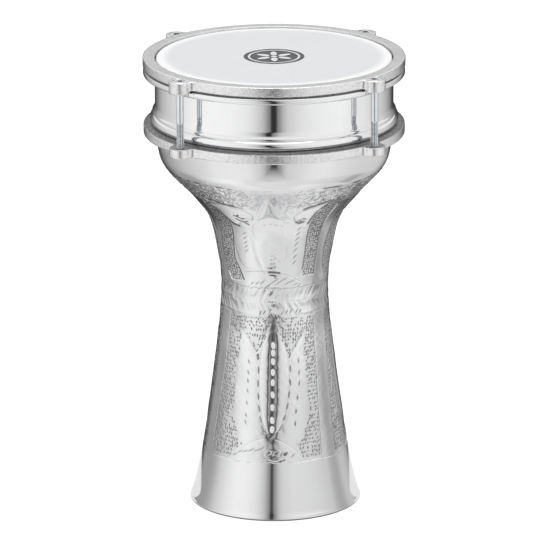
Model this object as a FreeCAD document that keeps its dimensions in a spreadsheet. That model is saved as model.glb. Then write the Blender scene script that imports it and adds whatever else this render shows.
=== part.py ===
import FreeCAD, Part
import math
import os
import Sketcher

# Darbuka (goblet drum), millimetres, +Z up, origin at the centre of the foot
# where the drum stands. A hollow aluminium goblet carries a lower ring with
# four threaded lugs under its bead; four countersunk M6 screws pull a cast
# counter-hoop down on the hoop of the drumhead.

V = FreeCAD.Vector
doc = FreeCAD.newDocument("Darbuka")

# ---------------------------------------------------------------- dimensions
sheet = doc.addObject("Spreadsheet::Sheet", "Dims")
DIMS = [
    # goblet shell
    ("shell_wall", 2.6),
    ("rim_inner_rad", 63.2),
    ("rim_roll_rad", 1.1),
    ("bead_low_z", 305.6),
    ("bead_low_rad", 94.6),
    ("bead_top_z", 313.2),
    ("bead_top_rad", 93.5),
    ("bead_curve", 4.6),
    ("crease_z", 313.8),
    ("crease_rad", 91.9),
    ("collar_rad", 92.3),
    ("collar_low_z", 314.5),
    ("collar_top_z", 345.5),
    ("taper_rad", 90.95),
    ("taper_z", 351.8),
    ("edge_curve", 1.5),
    ("edge_z", 355.8),
    ("edge_inner_rad", 88.7),
    # lower ring
    ("low_ring_z", 296.8),
    ("low_ring_high", 8.8),
    ("low_ring_in_rad", 92.3),
    ("low_ring_out_rad", 101.2),
    # top ring
    ("top_ring_z", 349.6),
    ("top_ring_high", 7.5),
    ("top_ring_in_rad", 92.25),
    ("top_ring_out_rad", 101.5),
    ("lug_lip_z", 346.9),
    ("lug_lip_rad", 101.9),
    ("lug_high", 7.0),
    ("throat_rad", 94.9),
    ("throat_z", 354.0),
    # lugs and screws
    ("lug_count", 4),
    ("bolt_circle", 104.6),
    ("boss_rad", 8.5),
    ("lug_root_rad", 98.0),
    ("lug_fillet", 4.5),
    ("clear_hole_dia", 6.6),
    ("sink_dia", 12.8),
    ("thread_hole_dia", 6.1),
    ("bolt_dia", 6.0),
    ("bolt_long", 60.0),
    ("bolt_top_z", 356.55),
    ("bolt_head_dia", 11.8),
    ("bolt_head_rim", 0.35),
    ("socket_wide", 4.0),
    ("socket_deep", 2.6),
    ("tip_bevel", 0.8),
    # drumhead
    ("hoop_in_rad", 92.7),
    ("hoop_out_rad", 101.25),
    ("hoop_low_z", 343.2),
    ("hoop_high", 6.25),
    ("hoop_wall", 1.2),
    ("hoop_round", 1.5),
    ("film_thick", 0.25),
    ("film_z", 356.1),
    ("film_flat_rad", 90.35),
    ("film_turn_rad", 91.75),
    ("film_turn_z", 354.9),
    ("film_root_rad", 94.45),
    ("film_root_z", 349.2),
    ("film_foot_z", 345.6),
    ("resin_top_z", 349.1),
]
# poles of the goblet's outer curve, foot to bead: radius, height, and the
# outward normal there, along which the inner curve lies one wall inside
POLES = [
    (65.85, 2.10, 0.9677, 0.2519),
    (64.14, 8.68, 0.9694, 0.2456),
    (59.27, 27.81, 0.9801, 0.1986),
    (53.55, 63.91, 0.9885, 0.1511),
    (47.24, 106.57, 0.9920, 0.1260),
    (42.76, 149.24, 0.9967, 0.0817),
    (40.79, 182.79, 0.9988, -0.0488),
    (45.56, 210.29, 0.9830, -0.1838),
    (49.51, 230.03, 0.9125, -0.4090),
    (60.91, 244.51, 0.7744, -0.6327),
    (70.00, 255.22, 0.7361, -0.6769),
    (78.97, 264.19, 0.7204, -0.6936),
    (85.36, 271.11, 0.8136, -0.5814),
    (88.85, 277.72, 0.9411, -0.3380),
    (90.11, 283.96, 0.9852, -0.1713),
    (91.18, 291.29, 0.9966, -0.0829),
    (91.33, 296.67, 0.9989, -0.0465),
    (91.50, 300.00, 0.9987, -0.0513),
]
KNOTS = [0.0, 0.06528, 0.18804, 0.34865, 0.47653, 0.59761, 0.66825, 0.74176,
         0.78841, 0.83886, 0.87846, 0.90783, 0.9292, 0.94889, 0.96814, 1.0]
for i, (pr, pz, nr, nz) in enumerate(POLES):
    DIMS.append(("pole_rad_%02d" % i, pr))
    DIMS.append(("pole_high_%02d" % i, pz))

D = {}
for row, (name, value) in enumerate(DIMS, start=1):
    sheet.set("A%d" % row, name)
    sheet.set("B%d" % row, str(value))
    sheet.setAlias("B%d" % row, name)
    D[name] = float(value)
doc.recompute()


def ev(expr):
    """Value of a small arithmetic expression over the sheet's names, used
    only to draw a sketch near its solved place."""
    if isinstance(expr, (int, float)):
        return float(expr)
    total = 0.0
    for term in expr.replace("- ", "+ -").split("+ "):
        term = term.strip()
        if not term:
            continue
        sign = 1.0
        if term.startswith("-"):
            sign, term = -1.0, term[1:].strip()
        value = 1.0
        for k, factor in enumerate(term.split(" ")):
            if factor in ("*", "/"):
                op = factor
                continue
            x = D[factor[5:]] if factor.startswith("Dims.") else float(factor)
            value = x if k == 0 else (value * x if op == "*" else value / x)
        total += sign * value
    return total


# ------------------------------------------------------------------- helpers
def new_body(label):
    body = doc.addObject("PartDesign::Body", label)
    body.Label = label
    return body


def plane(body, role):
    for feature in body.Origin.OriginFeatures:
        if feature.Role == role:
            return feature
    raise RuntimeError("no plane " + role)


def new_sketch(body, name, role, lift=None):
    sk = body.newObject("Sketcher::SketchObject", name)
    sk.AttachmentSupport = [(plane(body, role), "")]
    sk.MapMode = "FlatFace"
    if lift is not None:
        sk.AttachmentOffset = FreeCAD.Placement(V(0, 0, ev(lift)), FreeCAD.Rotation())
        sk.setExpression("AttachmentOffset.Base.z", lift)
    return sk


def pin(sk, geo, pos, xe, ye):
    """Fix a sketch point at (xe, ye), each a number or an expression."""
    for kind, e, axis in (("DistanceX", xe, -2), ("DistanceY", ye, -1)):
        value = ev(e)
        if abs(value) < 1e-9:
            sk.addConstraint(Sketcher.Constraint("PointOnObject", geo, pos, axis))
            continue
        n = sk.addConstraint(Sketcher.Constraint(kind, -1, 1, geo, pos, value))
        if isinstance(e, str):
            sk.setExpression("Constraints[%d]" % n, e)


def outline(sk, corners, curves=None):
    """Closed profile through corners [(x, y)], joined by lines, or by what
    curves gives for the edge that leaves corner i: ("arc", radius, side) with
    side +1 when the edge turns left, or ("spline", poles, knots)."""
    curves = curves or {}
    n = len(corners)
    ends = []
    for i in range(n):
        x0, y0 = (ev(c) for c in corners[i])
        x1, y1 = (ev(c) for c in corners[(i + 1) % n])
        a, b = V(x0, y0, 0), V(x1, y1, 0)
        curve = curves.get(i)
        if curve is None:
            g = sk.addGeometry(Part.LineSegment(a, b), False)
            ends.append((g, 1, 2))
        elif curve[0] == "arc":
            rad, side = ev(curve[1]), curve[2]
            mid, d = (a + b) * 0.5, b - a
            h = math.sqrt(max(rad * rad - d.Length ** 2 / 4.0, 0.0))
            left = V(-d.y, d.x, 0).normalize()
            c = mid + left * (h * side)
            aa = math.atan2(a.y - c.y, a.x - c.x)
            ab = math.atan2(b.y - c.y, b.x - c.x)
            circle = Part.Circle(c, V(0, 0, 1), rad)
            if side > 0:
                g = sk.addGeometry(Part.ArcOfCircle(circle, aa, ab), False)
                ends.append((g, 1, 2))
            else:
                g = sk.addGeometry(Part.ArcOfCircle(circle, ab, aa), False)
                ends.append((g, 2, 1))
            m = sk.addConstraint(Sketcher.Constraint("Radius", g, rad))
            if isinstance(curve[1], str):
                sk.setExpression("Constraints[%d]" % m, curve[1])
        else:
            poles, knots = curve[1], curve[2]
            pts = [V(ev(px), ev(py), 0) for px, py in poles]
            mults = [4] + [1] * (len(knots) - 2) + [4]
            spline = Part.BSplineCurve()
            spline.buildFromPolesMultsKnots(pts, mults, knots, False, 3)
            g = sk.addGeometry(spline, False)
            ends.append((g, 1, 2))
            first = None
            for j, p in enumerate(pts):
                cg = sk.addGeometry(Part.Circle(p, V(0, 0, 1), 1.0), True)
                sk.addConstraint(Sketcher.Constraint(
                    "InternalAlignment:Sketcher::BSplineControlPoint", cg, 3, g, j))
                if first is None:
                    first = cg
                    sk.addConstraint(Sketcher.Constraint("Weight", cg, 1.0))
                else:
                    sk.addConstraint(Sketcher.Constraint("Equal", first, cg))
                if 0 < j < len(pts) - 1:
                    pin(sk, cg, 3, poles[j][0], poles[j][1])
    for i in range(n):
        g, s, e = ends[i]
        g2, s2, e2 = ends[(i + 1) % n]
        sk.addConstraint(Sketcher.Constraint("Coincident", g, e, g2, s2))
        pin(sk, g, s, corners[i][0], corners[i][1])
    return ends


def revolve(body, sk, name="Turned"):
    rev = body.newObject("PartDesign::Revolution", name)
    rev.Profile = sk
    rev.ReferenceAxis = (sk, ["V_Axis"])
    rev.Angle = 360.0
    return rev


def pad(body, sk, length, name):
    p = body.newObject("PartDesign::Pad", name)
    p.Profile = sk
    p.Length = ev(length)
    p.setExpression("Length", length)
    return p


def ring_sketch(sk, inner, outer):
    for e in (inner, outer):
        g = sk.addGeometry(Part.Circle(V(0, 0, 0), V(0, 0, 1), ev(e)), False)
        sk.addConstraint(Sketcher.Constraint("Coincident", g, 3, -1, 1))
        m = sk.addConstraint(Sketcher.Constraint("Radius", g, ev(e)))
        sk.setExpression("Constraints[%d]" % m, e)


def at45(e, k=0):
    """x, y expressions of a point at radius e on the diagonal of lug k."""
    a = math.radians(45.0 + 90.0 * k)
    return ("%s * %.9f" % (e, math.cos(a)), "%s * %.9f" % (e, math.sin(a)))


def lug_sketch(sk, root):
    """One lug on the 45 degree diagonal: a round boss about the screw, with
    straight flanks that run back to radius root inside the ring."""
    c = V(ev(at45("Dims.bolt_circle")[0]), ev(at45("Dims.bolt_circle")[1]), 0)
    u = V(math.cos(math.radians(45)), math.sin(math.radians(45)), 0)
    w = V(-u.y, u.x, 0)
    rb = D["boss_rad"]
    r0 = ev(root)
    p = [c - w * rb, c + w * rb, u * r0 + w * rb, u * r0 - w * rb]
    g_arc = sk.addGeometry(Part.ArcOfCircle(
        Part.Circle(c, V(0, 0, 1), rb), math.radians(-45), math.radians(135)), False)
    g_a = sk.addGeometry(Part.LineSegment(p[1], p[2]), False)
    g_b = sk.addGeometry(Part.LineSegment(p[2], p[3]), False)
    g_c = sk.addGeometry(Part.LineSegment(p[3], p[0]), False)
    add = sk.addConstraint
    add(Sketcher.Constraint("Coincident", g_arc, 2, g_a, 1))
    add(Sketcher.Constraint("Coincident", g_a, 2, g_b, 1))
    add(Sketcher.Constraint("Coincident", g_b, 2, g_c, 1))
    add(Sketcher.Constraint("Coincident", g_c, 2, g_arc, 1))
    pin(sk, g_arc, 3, *at45("Dims.bolt_circle"))
    h = 0.70710678
    pin(sk, g_arc, 1, "Dims.bolt_circle * %.8f + Dims.boss_rad * %.8f" % (h, h),
        "Dims.bolt_circle * %.8f - Dims.boss_rad * %.8f" % (h, h))
    pin(sk, g_a, 2, "%s * %.8f - Dims.boss_rad * %.8f" % (root, h, h),
        "%s * %.8f + Dims.boss_rad * %.8f" % (root, h, h))
    pin(sk, g_b, 2, "%s * %.8f + Dims.boss_rad * %.8f" % (root, h, h),
        "%s * %.8f - Dims.boss_rad * %.8f" % (root, h, h))
    # the far end of the arc sits square across the flank
    pin_end = ("Dims.bolt_circle * %.8f - Dims.boss_rad * %.8f" % (h, h))
    m = add(Sketcher.Constraint("DistanceX", -1, 1, g_arc, 2, ev(pin_end)))
    sk.setExpression("Constraints[%d]" % m, pin_end)


def four_lugs(body, feature, name):
    doc.recompute()
    pat = body.newObject("PartDesign::PolarPattern", name)
    pat.Originals = [feature]
    pat.Axis = (plane(body, "Z_Axis"), [""])
    pat.Angle = 360.0
    pat.Occurrences = int(D["lug_count"])
    pat.setExpression("Occurrences", "Dims.lug_count")
    body.Tip = pat
    doc.recompute()
    return pat


def fillet_edges(body, base, name, radius, test):
    doc.recompute()
    names = []
    for i, e in enumerate(base.Shape.Edges, start=1):
        if test(e):
            names.append("Edge%d" % i)
    if not names:
        raise RuntimeError(name + ": no edges found")
    f = body.newObject("PartDesign::Fillet", name)
    f.Base = (base, names)
    f.Radius = ev(radius)
    if isinstance(radius, str):
        f.setExpression("Radius", radius)
    body.Tip = f
    doc.recompute()
    return f


def vertical_at(e, rad, tol=0.6):
    if e.Curve.TypeId != "Part::GeomLine":
        return False
    a, b = e.Vertexes[0].Point, e.Vertexes[-1].Point
    if abs(a.x - b.x) > 1e-3 or abs(a.y - b.y) > 1e-3:
        return False
    return abs(math.hypot(a.x, a.y) - rad) < tol


bodies = []

# ---------------------------------------------------------------- goblet shell
# One hollow turning: rolled foot rim, flared foot, waist, bowl, rounded bead,
# straight collar that tapers to the rounded bearing edge.
goblet = new_body("goblet_shell")
sk = new_sketch(goblet, "GobletProfile", "XZ_Plane")
outer = [("Dims.pole_rad_%02d" % i, "Dims.pole_high_%02d" % i)
         for i in range(len(POLES))]
inner = [("Dims.pole_rad_%02d - Dims.shell_wall * %.4f" % (i, nr),
          ("Dims.pole_high_%02d - Dims.shell_wall * %.4f" % (i, nz)) if nz > 0 else
          ("Dims.pole_high_%02d + Dims.shell_wall * %.4f" % (i, -nz)))
         for i, (pr, pz, nr, nz) in enumerate(POLES)]
inner_r = list(reversed(inner))
knots_r = [1.0 - k for k in reversed(KNOTS)]
wall_in = "Dims.collar_rad - Dims.shell_wall"
corners = [
    ("Dims.rim_inner_rad", 0),                                       # 0 foot, inside
    (outer[0][0], 0),                                                # 1 foot, outside
    outer[0],                                                        # 2 above the roll
    outer[-1],                                                       # 3 top of the bowl
    (outer[-1][0], "Dims.bead_low_z"),                               # 4 under the bead
    ("Dims.bead_low_rad", "Dims.bead_low_z"),                        # 5
    ("Dims.bead_top_rad", "Dims.bead_top_z"),                        # 6 bead
    ("Dims.crease_rad", "Dims.crease_z"),                            # 7 crease
    ("Dims.collar_rad", "Dims.collar_low_z"),                        # 8 collar
    ("Dims.collar_rad", "Dims.collar_top_z"),                        # 9
    ("Dims.taper_rad", "Dims.taper_z"),                              # 10
    ("Dims.taper_rad", "Dims.edge_z - Dims.edge_curve"),             # 11
    ("Dims.taper_rad - Dims.edge_curve", "Dims.edge_z"),             # 12 bearing edge
    ("Dims.edge_inner_rad", "Dims.edge_z"),                          # 13
    ("Dims.taper_rad - Dims.shell_wall", "Dims.edge_z - 1.0"),       # 14
    ("Dims.taper_rad - Dims.shell_wall", "Dims.taper_z"),            # 15
    (wall_in, "Dims.collar_top_z"),                                  # 16
    (wall_in, "Dims.collar_low_z"),                                  # 17
    inner_r[0],                                                      # 18
    inner_r[-1],                                                     # 19
]
curves = {
    1: ("arc", "Dims.rim_roll_rad", 1),
    2: ("spline", outer, KNOTS),
    5: ("arc", "Dims.bead_curve", 1),
    11: ("arc", "Dims.edge_curve", 1),
    18: ("spline", inner_r, knots_r),
}
outline(sk, corners, curves)
revolve(goblet, sk)
bodies.append(goblet)

# ------------------------------------------------------------------ lower ring
lower = new_body("lower_ring")
sk = new_sketch(lower, "LowerRingPlan", "XY_Plane", "Dims.low_ring_z")
ring_sketch(sk, "Dims.low_ring_in_rad", "Dims.low_ring_out_rad")
pad(lower, sk, "Dims.low_ring_high", "LowerRingPad")
sk = new_sketch(lower, "LowerLugPlan", "XY_Plane", "Dims.low_ring_z")
lug_sketch(sk, "Dims.lug_root_rad")
lug = pad(lower, sk, "Dims.low_ring_high", "LowerLug")
pat = four_lugs(lower, lug, "LowerLugs")
root_rad = D["low_ring_out_rad"]
fil = fillet_edges(lower, pat, "LowerLugFillets", "Dims.lug_fillet",
                   lambda e: vertical_at(e, root_rad, 0.05))


def hole_sketch(body, name, lift, dia):
    s = new_sketch(body, name, "XY_Plane", lift)
    for k in range(int(D["lug_count"])):
        x, y = at45("Dims.bolt_circle", k)
        g = s.addGeometry(Part.Circle(V(ev(x), ev(y), 0), V(0, 0, 1), ev(dia) / 2), False)
        pin(s, g, 3, x, y)
        m = s.addConstraint(Sketcher.Constraint("Diameter", g, ev(dia)))
        s.setExpression("Constraints[%d]" % m, dia)
    return s


sk = hole_sketch(lower, "ThreadHolePlan", "Dims.low_ring_z", "Dims.thread_hole_dia")
doc.recompute()
before = lower.Shape.Volume
cut = lower.newObject("PartDesign::Pocket", "ThreadHoles")
cut.Profile = sk
cut.Type = 0
cut.Length = D["low_ring_high"] + 1.0
cut.setExpression("Length", "Dims.low_ring_high + 1")
cut.Reversed = True
doc.recompute()
removed = before - lower.Shape.Volume
want = 4 * math.pi * (D["thread_hole_dia"] / 2) ** 2 * D["low_ring_high"]
if abs(removed - want) > 0.02 * want:
    raise RuntimeError("thread holes: removed %.1f, expected %.1f" % (removed, want))
bodies.append(lower)

# -------------------------------------------------------------------- top ring
# Counter-hoop: a flat band whose lower inside corner is bevelled to clear the
# skin. Its lugs hang past the hoop, so their lip stays outside it.
top = new_body("top_ring")
sk = new_sketch(top, "TopRingSection", "XZ_Plane")
z0, z1 = "Dims.top_ring_z", "Dims.top_ring_z + Dims.top_ring_high"
outline(sk, [
    ("Dims.throat_rad", z0),
    ("Dims.top_ring_out_rad", z0),
    ("Dims.top_ring_out_rad", z1),
    ("Dims.top_ring_in_rad", z1),
    ("Dims.top_ring_in_rad", "Dims.throat_z"),
])
revolve(top, sk, "TopRingBand")
sk = new_sketch(top, "TopLugPlan", "XY_Plane", "Dims.top_ring_z")
lug_sketch(sk, "Dims.lug_root_rad")
lug = pad(top, sk, "Dims.lug_high", "TopLug")
pat = four_lugs(top, lug, "TopLugs")
root_top = D["top_ring_out_rad"]
fil = fillet_edges(top, pat, "TopLugFillets", "Dims.lug_fillet",
                   lambda e: vertical_at(e, root_top, 0.05))
# lip under each lug
sk = new_sketch(top, "LipPlan", "XY_Plane", "Dims.lug_lip_z")
cx, cy = (ev(e) for e in at45("Dims.bolt_circle"))
rb, rl = D["boss_rad"], D["lug_lip_rad"]
dist = D["bolt_circle"]
# where the lip's inner circle meets the boss circle
ca = (dist * dist + rl * rl - rb * rb) / (2 * dist * rl)
half = math.acos(ca)
a_lo, a_hi = math.radians(45) - half, math.radians(45) + half
p_lo = V(rl * math.cos(a_lo), rl * math.sin(a_lo), 0)
p_hi = V(rl * math.cos(a_hi), rl * math.sin(a_hi), 0)
b_lo = math.atan2(p_lo.y - cy, p_lo.x - cx)
b_hi = math.atan2(p_hi.y - cy, p_hi.x - cx)
g_boss = sk.addGeometry(Part.ArcOfCircle(
    Part.Circle(V(cx, cy, 0), V(0, 0, 1), rb), b_lo, b_hi), False)
g_in = sk.addGeometry(Part.ArcOfCircle(
    Part.Circle(V(0, 0, 0), V(0, 0, 1), rl), a_lo, a_hi), False)
sk.addConstraint(Sketcher.Constraint("Coincident", g_boss, 1, g_in, 1))
sk.addConstraint(Sketcher.Constraint("Coincident", g_boss, 2, g_in, 2))
sk.addConstraint(Sketcher.Constraint("Coincident", g_in, 3, -1, 1))
pin(sk, g_boss, 3, *at45("Dims.bolt_circle"))
for g, e in ((g_boss, "Dims.boss_rad"), (g_in, "Dims.lug_lip_rad")):
    m = sk.addConstraint(Sketcher.Constraint("Radius", g, ev(e)))
    sk.setExpression("Constraints[%d]" % m, e)
lip = pad(top, sk, "Dims.top_ring_z - Dims.lug_lip_z + 0.5", "LugLip")
pat = four_lugs(top, lip, "LugLips")
# countersunk clearance holes, drilled down from the lugs' top faces
sk = hole_sketch(top, "ScrewHolePlan", "Dims.top_ring_z + Dims.lug_high",
                 "Dims.clear_hole_dia")
doc.recompute()
before = top.Shape.Volume
hole = top.newObject("PartDesign::Hole", "ScrewHoles")
hole.Profile = sk
hole.Threaded = False
hole.ThreadType = "None"
hole.Diameter = D["clear_hole_dia"]
hole.setExpression("Diameter", "Dims.clear_hole_dia")
hole.DepthType = "ThroughAll"
hole.HoleCutType = "Countersink"
hole.HoleCutCustomValues = True
hole.HoleCutDiameter = D["sink_dia"]
hole.setExpression("HoleCutDiameter", "Dims.sink_dia")
hole.HoleCutCountersinkAngle = 90.0
doc.recompute()
removed = before - top.Shape.Volume
print("screw holes remove", round(removed, 1))
if removed < 1000:
    raise RuntimeError("the screw holes did not cut")
bodies.append(top)

# ------------------------------------------------------------------ flesh hoop
# Rolled channel, open upwards, with a rounded outer face.
hoop = new_body("flesh_hoop")
sk = new_sketch(hoop, "HoopSection", "XZ_Plane")
h0, h1 = "Dims.hoop_low_z", "Dims.hoop_low_z + Dims.hoop_high"
outline(sk, [
    ("Dims.hoop_in_rad", h0),
    ("Dims.hoop_out_rad - Dims.hoop_round", h0),
    ("Dims.hoop_out_rad", "Dims.hoop_low_z + Dims.hoop_round"),
    ("Dims.hoop_out_rad", "Dims.hoop_low_z + Dims.hoop_high - 1.0"),
    ("Dims.hoop_out_rad - 1.0", h1),
    ("Dims.hoop_out_rad - Dims.hoop_wall", h1),
    ("Dims.hoop_out_rad - Dims.hoop_wall", "Dims.hoop_low_z + Dims.hoop_wall"),
    ("Dims.hoop_in_rad + Dims.hoop_wall", "Dims.hoop_low_z + Dims.hoop_wall"),
    ("Dims.hoop_in_rad + Dims.hoop_wall", "Dims.hoop_low_z + 5.0"),
    ("Dims.hoop_in_rad", "Dims.hoop_low_z + 5.0"),
], {1: ("arc", "Dims.hoop_round", 1), 3: ("arc", 1.0, 1)})
revolve(hoop, sk)
bodies.append(hoop)

# ---------------------------------------------------- resin inside the channel
resin = new_body("hoop_resin")
sk = new_sketch(resin, "ResinSection", "XZ_Plane")
c_in = "Dims.hoop_in_rad + Dims.hoop_wall"
c_out = "Dims.hoop_out_rad - Dims.hoop_wall"
c_low = "Dims.hoop_low_z + Dims.hoop_wall"
f_out = "Dims.film_root_rad"
f_in = "Dims.film_root_rad - Dims.film_thick"
outline(sk, [
    (c_in, c_low),
    (c_out, c_low),
    (c_out, "Dims.resin_top_z"),
    (f_out, "Dims.resin_top_z"),
    (f_out, "Dims.film_foot_z"),
    (f_in, "Dims.film_foot_z"),
    (f_in, "Dims.hoop_low_z + 5.0"),
    (c_in, "Dims.hoop_low_z + 5.0"),
])
revolve(resin, sk)
bodies.append(resin)

# ------------------------------------------------------------------ head film
film = new_body("head_film")
sk = new_sketch(film, "FilmSection", "XZ_Plane")
outline(sk, [
    (0, "Dims.film_z - Dims.film_thick"),
    ("Dims.film_flat_rad", "Dims.film_z - Dims.film_thick"),
    ("Dims.film_turn_rad - Dims.film_thick", "Dims.film_turn_z - 0.12"),
    (f_in, "Dims.film_root_z + 0.05"),
    (f_in, "Dims.film_foot_z"),
    (f_out, "Dims.film_foot_z"),
    (f_out, "Dims.film_root_z + 0.1"),
    ("Dims.film_turn_rad", "Dims.film_turn_z"),
    ("Dims.film_flat_rad", "Dims.film_z"),
    (0, "Dims.film_z"),
], {1: ("arc", 1.3, -1), 7: ("arc", 1.55, 1)})
revolve(film, sk)
bodies.append(film)

# ------------------------------------------------------------ tension bolts
# M6 x 60 countersunk screws with a hexagon socket; threads kept as plain
# cylinders at the major diameter.
for k in range(int(D["lug_count"])):
    bolt = new_body("tension_bolt_%d" % (k + 1))
    sk = new_sketch(bolt, "BoltSection%d" % (k + 1), "XZ_Plane")
    t = "Dims.bolt_top_z"
    rh, rs = "Dims.bolt_head_dia / 2", "Dims.bolt_dia / 2"
    cone = "Dims.bolt_top_z - Dims.bolt_head_rim - Dims.bolt_head_dia / 2 + Dims.bolt_dia / 2"
    tip = "Dims.bolt_top_z - Dims.bolt_long"
    outline(sk, [
        (0, tip),
        ("Dims.bolt_dia / 2 - Dims.tip_bevel", tip),
        (rs, "Dims.bolt_top_z - Dims.bolt_long + Dims.tip_bevel"),
        (rs, cone),
        (rh, "Dims.bolt_top_z - Dims.bolt_head_rim"),
        (rh, t),
        (0, t),
    ])
    revolve(bolt, sk, "BoltTurned%d" % (k + 1))
    sk = new_sketch(bolt, "SocketPlan%d" % (k + 1), "XY_Plane", t)
    circum = "Dims.socket_wide * %.8f" % (1 / math.sqrt(3))
    hexpts = []
    for q in range(6):
        a = math.radians(60 * q)
        hx, hy = math.cos(a), math.sin(a)
        ex = "Dims.socket_wide * %.8f" % (hx / math.sqrt(3)) if abs(hx) > 1e-9 else 0
        ey = "Dims.socket_wide * %.8f" % (hy / math.sqrt(3)) if abs(hy) > 1e-9 else 0
        hexpts.append((ex, ey))
    outline(sk, hexpts)
    doc.recompute()
    before = bolt.Shape.Volume
    cut = bolt.newObject("PartDesign::Pocket", "Socket%d" % (k + 1))
    cut.Profile = sk
    cut.Type = 0
    cut.Length = D["socket_deep"]
    cut.setExpression("Length", "Dims.socket_deep")
    doc.recompute()
    want = 0.8660254 * D["socket_wide"] ** 2 * D["socket_deep"]
    removed = before - bolt.Shape.Volume
    if abs(removed - want) > 0.02 * want:
        raise RuntimeError("socket %d: removed %.2f, expected %.2f" % (k, removed, want))
    x, y = at45("Dims.bolt_circle", k)
    bolt.Placement = FreeCAD.Placement(V(ev(x), ev(y), 0), FreeCAD.Rotation())
    bolt.setExpression(".Placement.Base.x", x)
    bolt.setExpression(".Placement.Base.y", y)
    bodies.append(bolt)

# ---------------------------------------------------------------------- output
doc.recompute()
bad = [o.Name for o in doc.Objects if "Invalid" in o.State or "Error" in o.State]
if bad:
    raise RuntimeError("failed objects: %s" % bad)
os.makedirs("parts", exist_ok=True)
for b in bodies:
    shape = b.Shape
    if shape.isNull() or not shape.isValid() or len(shape.Solids) != 1:
        raise RuntimeError("bad shape: " + b.Label)
for b in bodies:
    b.Shape.exportStep("parts/%s.step" % b.Label)
    box = b.Shape.BoundBox
    print("%-16s vol %9.1f mm3  x %.2f..%.2f  z %.2f..%.2f" % (
        b.Label, b.Shape.Volume, box.XMin, box.XMax, box.ZMin, box.ZMax))
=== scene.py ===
import bpy
import math
import numpy as np
from mathutils import Matrix, Vector


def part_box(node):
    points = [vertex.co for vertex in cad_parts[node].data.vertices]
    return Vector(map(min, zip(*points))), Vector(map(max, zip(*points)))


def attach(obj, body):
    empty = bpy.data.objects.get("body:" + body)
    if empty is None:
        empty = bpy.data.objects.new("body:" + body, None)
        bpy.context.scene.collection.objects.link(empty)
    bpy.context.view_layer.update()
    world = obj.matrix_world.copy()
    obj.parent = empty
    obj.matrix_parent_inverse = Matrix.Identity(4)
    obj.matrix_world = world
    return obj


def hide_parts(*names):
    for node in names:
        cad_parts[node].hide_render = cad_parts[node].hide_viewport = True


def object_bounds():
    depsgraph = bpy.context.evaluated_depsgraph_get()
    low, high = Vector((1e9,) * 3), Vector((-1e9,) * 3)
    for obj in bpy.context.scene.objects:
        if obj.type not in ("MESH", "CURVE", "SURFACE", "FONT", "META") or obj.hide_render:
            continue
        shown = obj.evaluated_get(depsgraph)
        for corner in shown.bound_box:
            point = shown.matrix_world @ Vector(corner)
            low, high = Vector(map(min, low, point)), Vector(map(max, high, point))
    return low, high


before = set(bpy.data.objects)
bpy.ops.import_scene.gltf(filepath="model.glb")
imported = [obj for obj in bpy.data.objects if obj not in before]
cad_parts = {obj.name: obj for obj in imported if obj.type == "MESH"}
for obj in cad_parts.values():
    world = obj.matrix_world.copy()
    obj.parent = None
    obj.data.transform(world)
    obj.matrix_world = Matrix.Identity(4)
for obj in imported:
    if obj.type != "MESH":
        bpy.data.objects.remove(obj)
CAD_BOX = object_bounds()

MM = 0.001
TURN = 1.8            # the drum stands turned this many degrees about +Z, seen from the camera
RNG = np.random.RandomState(41)
SCN = bpy.context.scene
TOP = 0.90            # brightness of the soft top light


# ============================================================ mesh helpers
def build(name, verts, faces, body, mat, replaces=(), sharp=None, attrs=None):
    """verts in mm (n, 3); faces a list of index arrays of width 3 or 4."""
    me = bpy.data.meshes.new(name)
    v = np.ascontiguousarray(np.asarray(verts, np.float32) * MM)
    me.vertices.add(len(v))
    me.vertices.foreach_set("co", v.ravel())
    groups = [np.asarray(f, np.int32) for f in faces if len(f)]
    loops = np.concatenate([g.ravel() for g in groups])
    sizes = np.concatenate([np.full(len(g), g.shape[1], np.int32) for g in groups])
    starts = np.concatenate([[0], np.cumsum(sizes)[:-1]]).astype(np.int32)
    me.loops.add(len(loops))
    me.loops.foreach_set("vertex_index", loops)
    me.polygons.add(len(sizes))
    me.polygons.foreach_set("loop_start", starts)
    me.polygons.foreach_set("use_smooth", np.ones(len(sizes), bool))
    me.update(calc_edges=True)
    for key, vals in (attrs or {}).items():
        a = me.attributes.new(key, "FLOAT", "POINT")
        a.data.foreach_set("value", np.asarray(vals, np.float32).ravel())
    me.validate()
    ob = bpy.data.objects.new(name, me)
    SCN.collection.objects.link(ob)
    if sharp is not None:
        me.set_sharp_from_angle(angle=math.radians(sharp))
    me.materials.append(mat)
    if body:
        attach(ob, body)
    if replaces:
        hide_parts(*replaces)
    return ob


def turned(profile, cols, closed=True, phase=0.0):
    """Grid of a profile [(r, z)] turned about Z. Returns verts, quads. Faces
    look outward when the profile runs upwards on the outside."""
    p = np.asarray(profile, float)
    n = len(p)
    a = np.radians(np.arange(cols) * 360.0 / cols + phase)
    x = p[:, 0][:, None] * np.sin(a)[None]
    y = -p[:, 0][:, None] * np.cos(a)[None]
    z = np.repeat(p[:, 1][:, None], cols, 1)
    v = np.stack([x, y, z], -1).reshape(-1, 3)
    i = np.arange(n if closed else n - 1)[:, None]
    j = np.arange(cols)[None]
    i2, j2 = (i + 1) % n, (j + 1) % cols
    q = np.stack([i * cols + j, i * cols + j2, i2 * cols + j2, i2 * cols + j], -1)
    return v, q.reshape(-1, 4)


def arc(cx, cz, rad, a0, a1, n):
    """Points on a circle in the (r, z) plane, angles in degrees from +r."""
    t = np.radians(np.linspace(a0, a1, n))
    return [(cx + rad * math.cos(u), cz + rad * math.sin(u)) for u in t]


def smoothstep(x, a, b):
    t = np.clip((x - a) / (b - a), 0, 1)
    return t * t * (3 - 2 * t)


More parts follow.
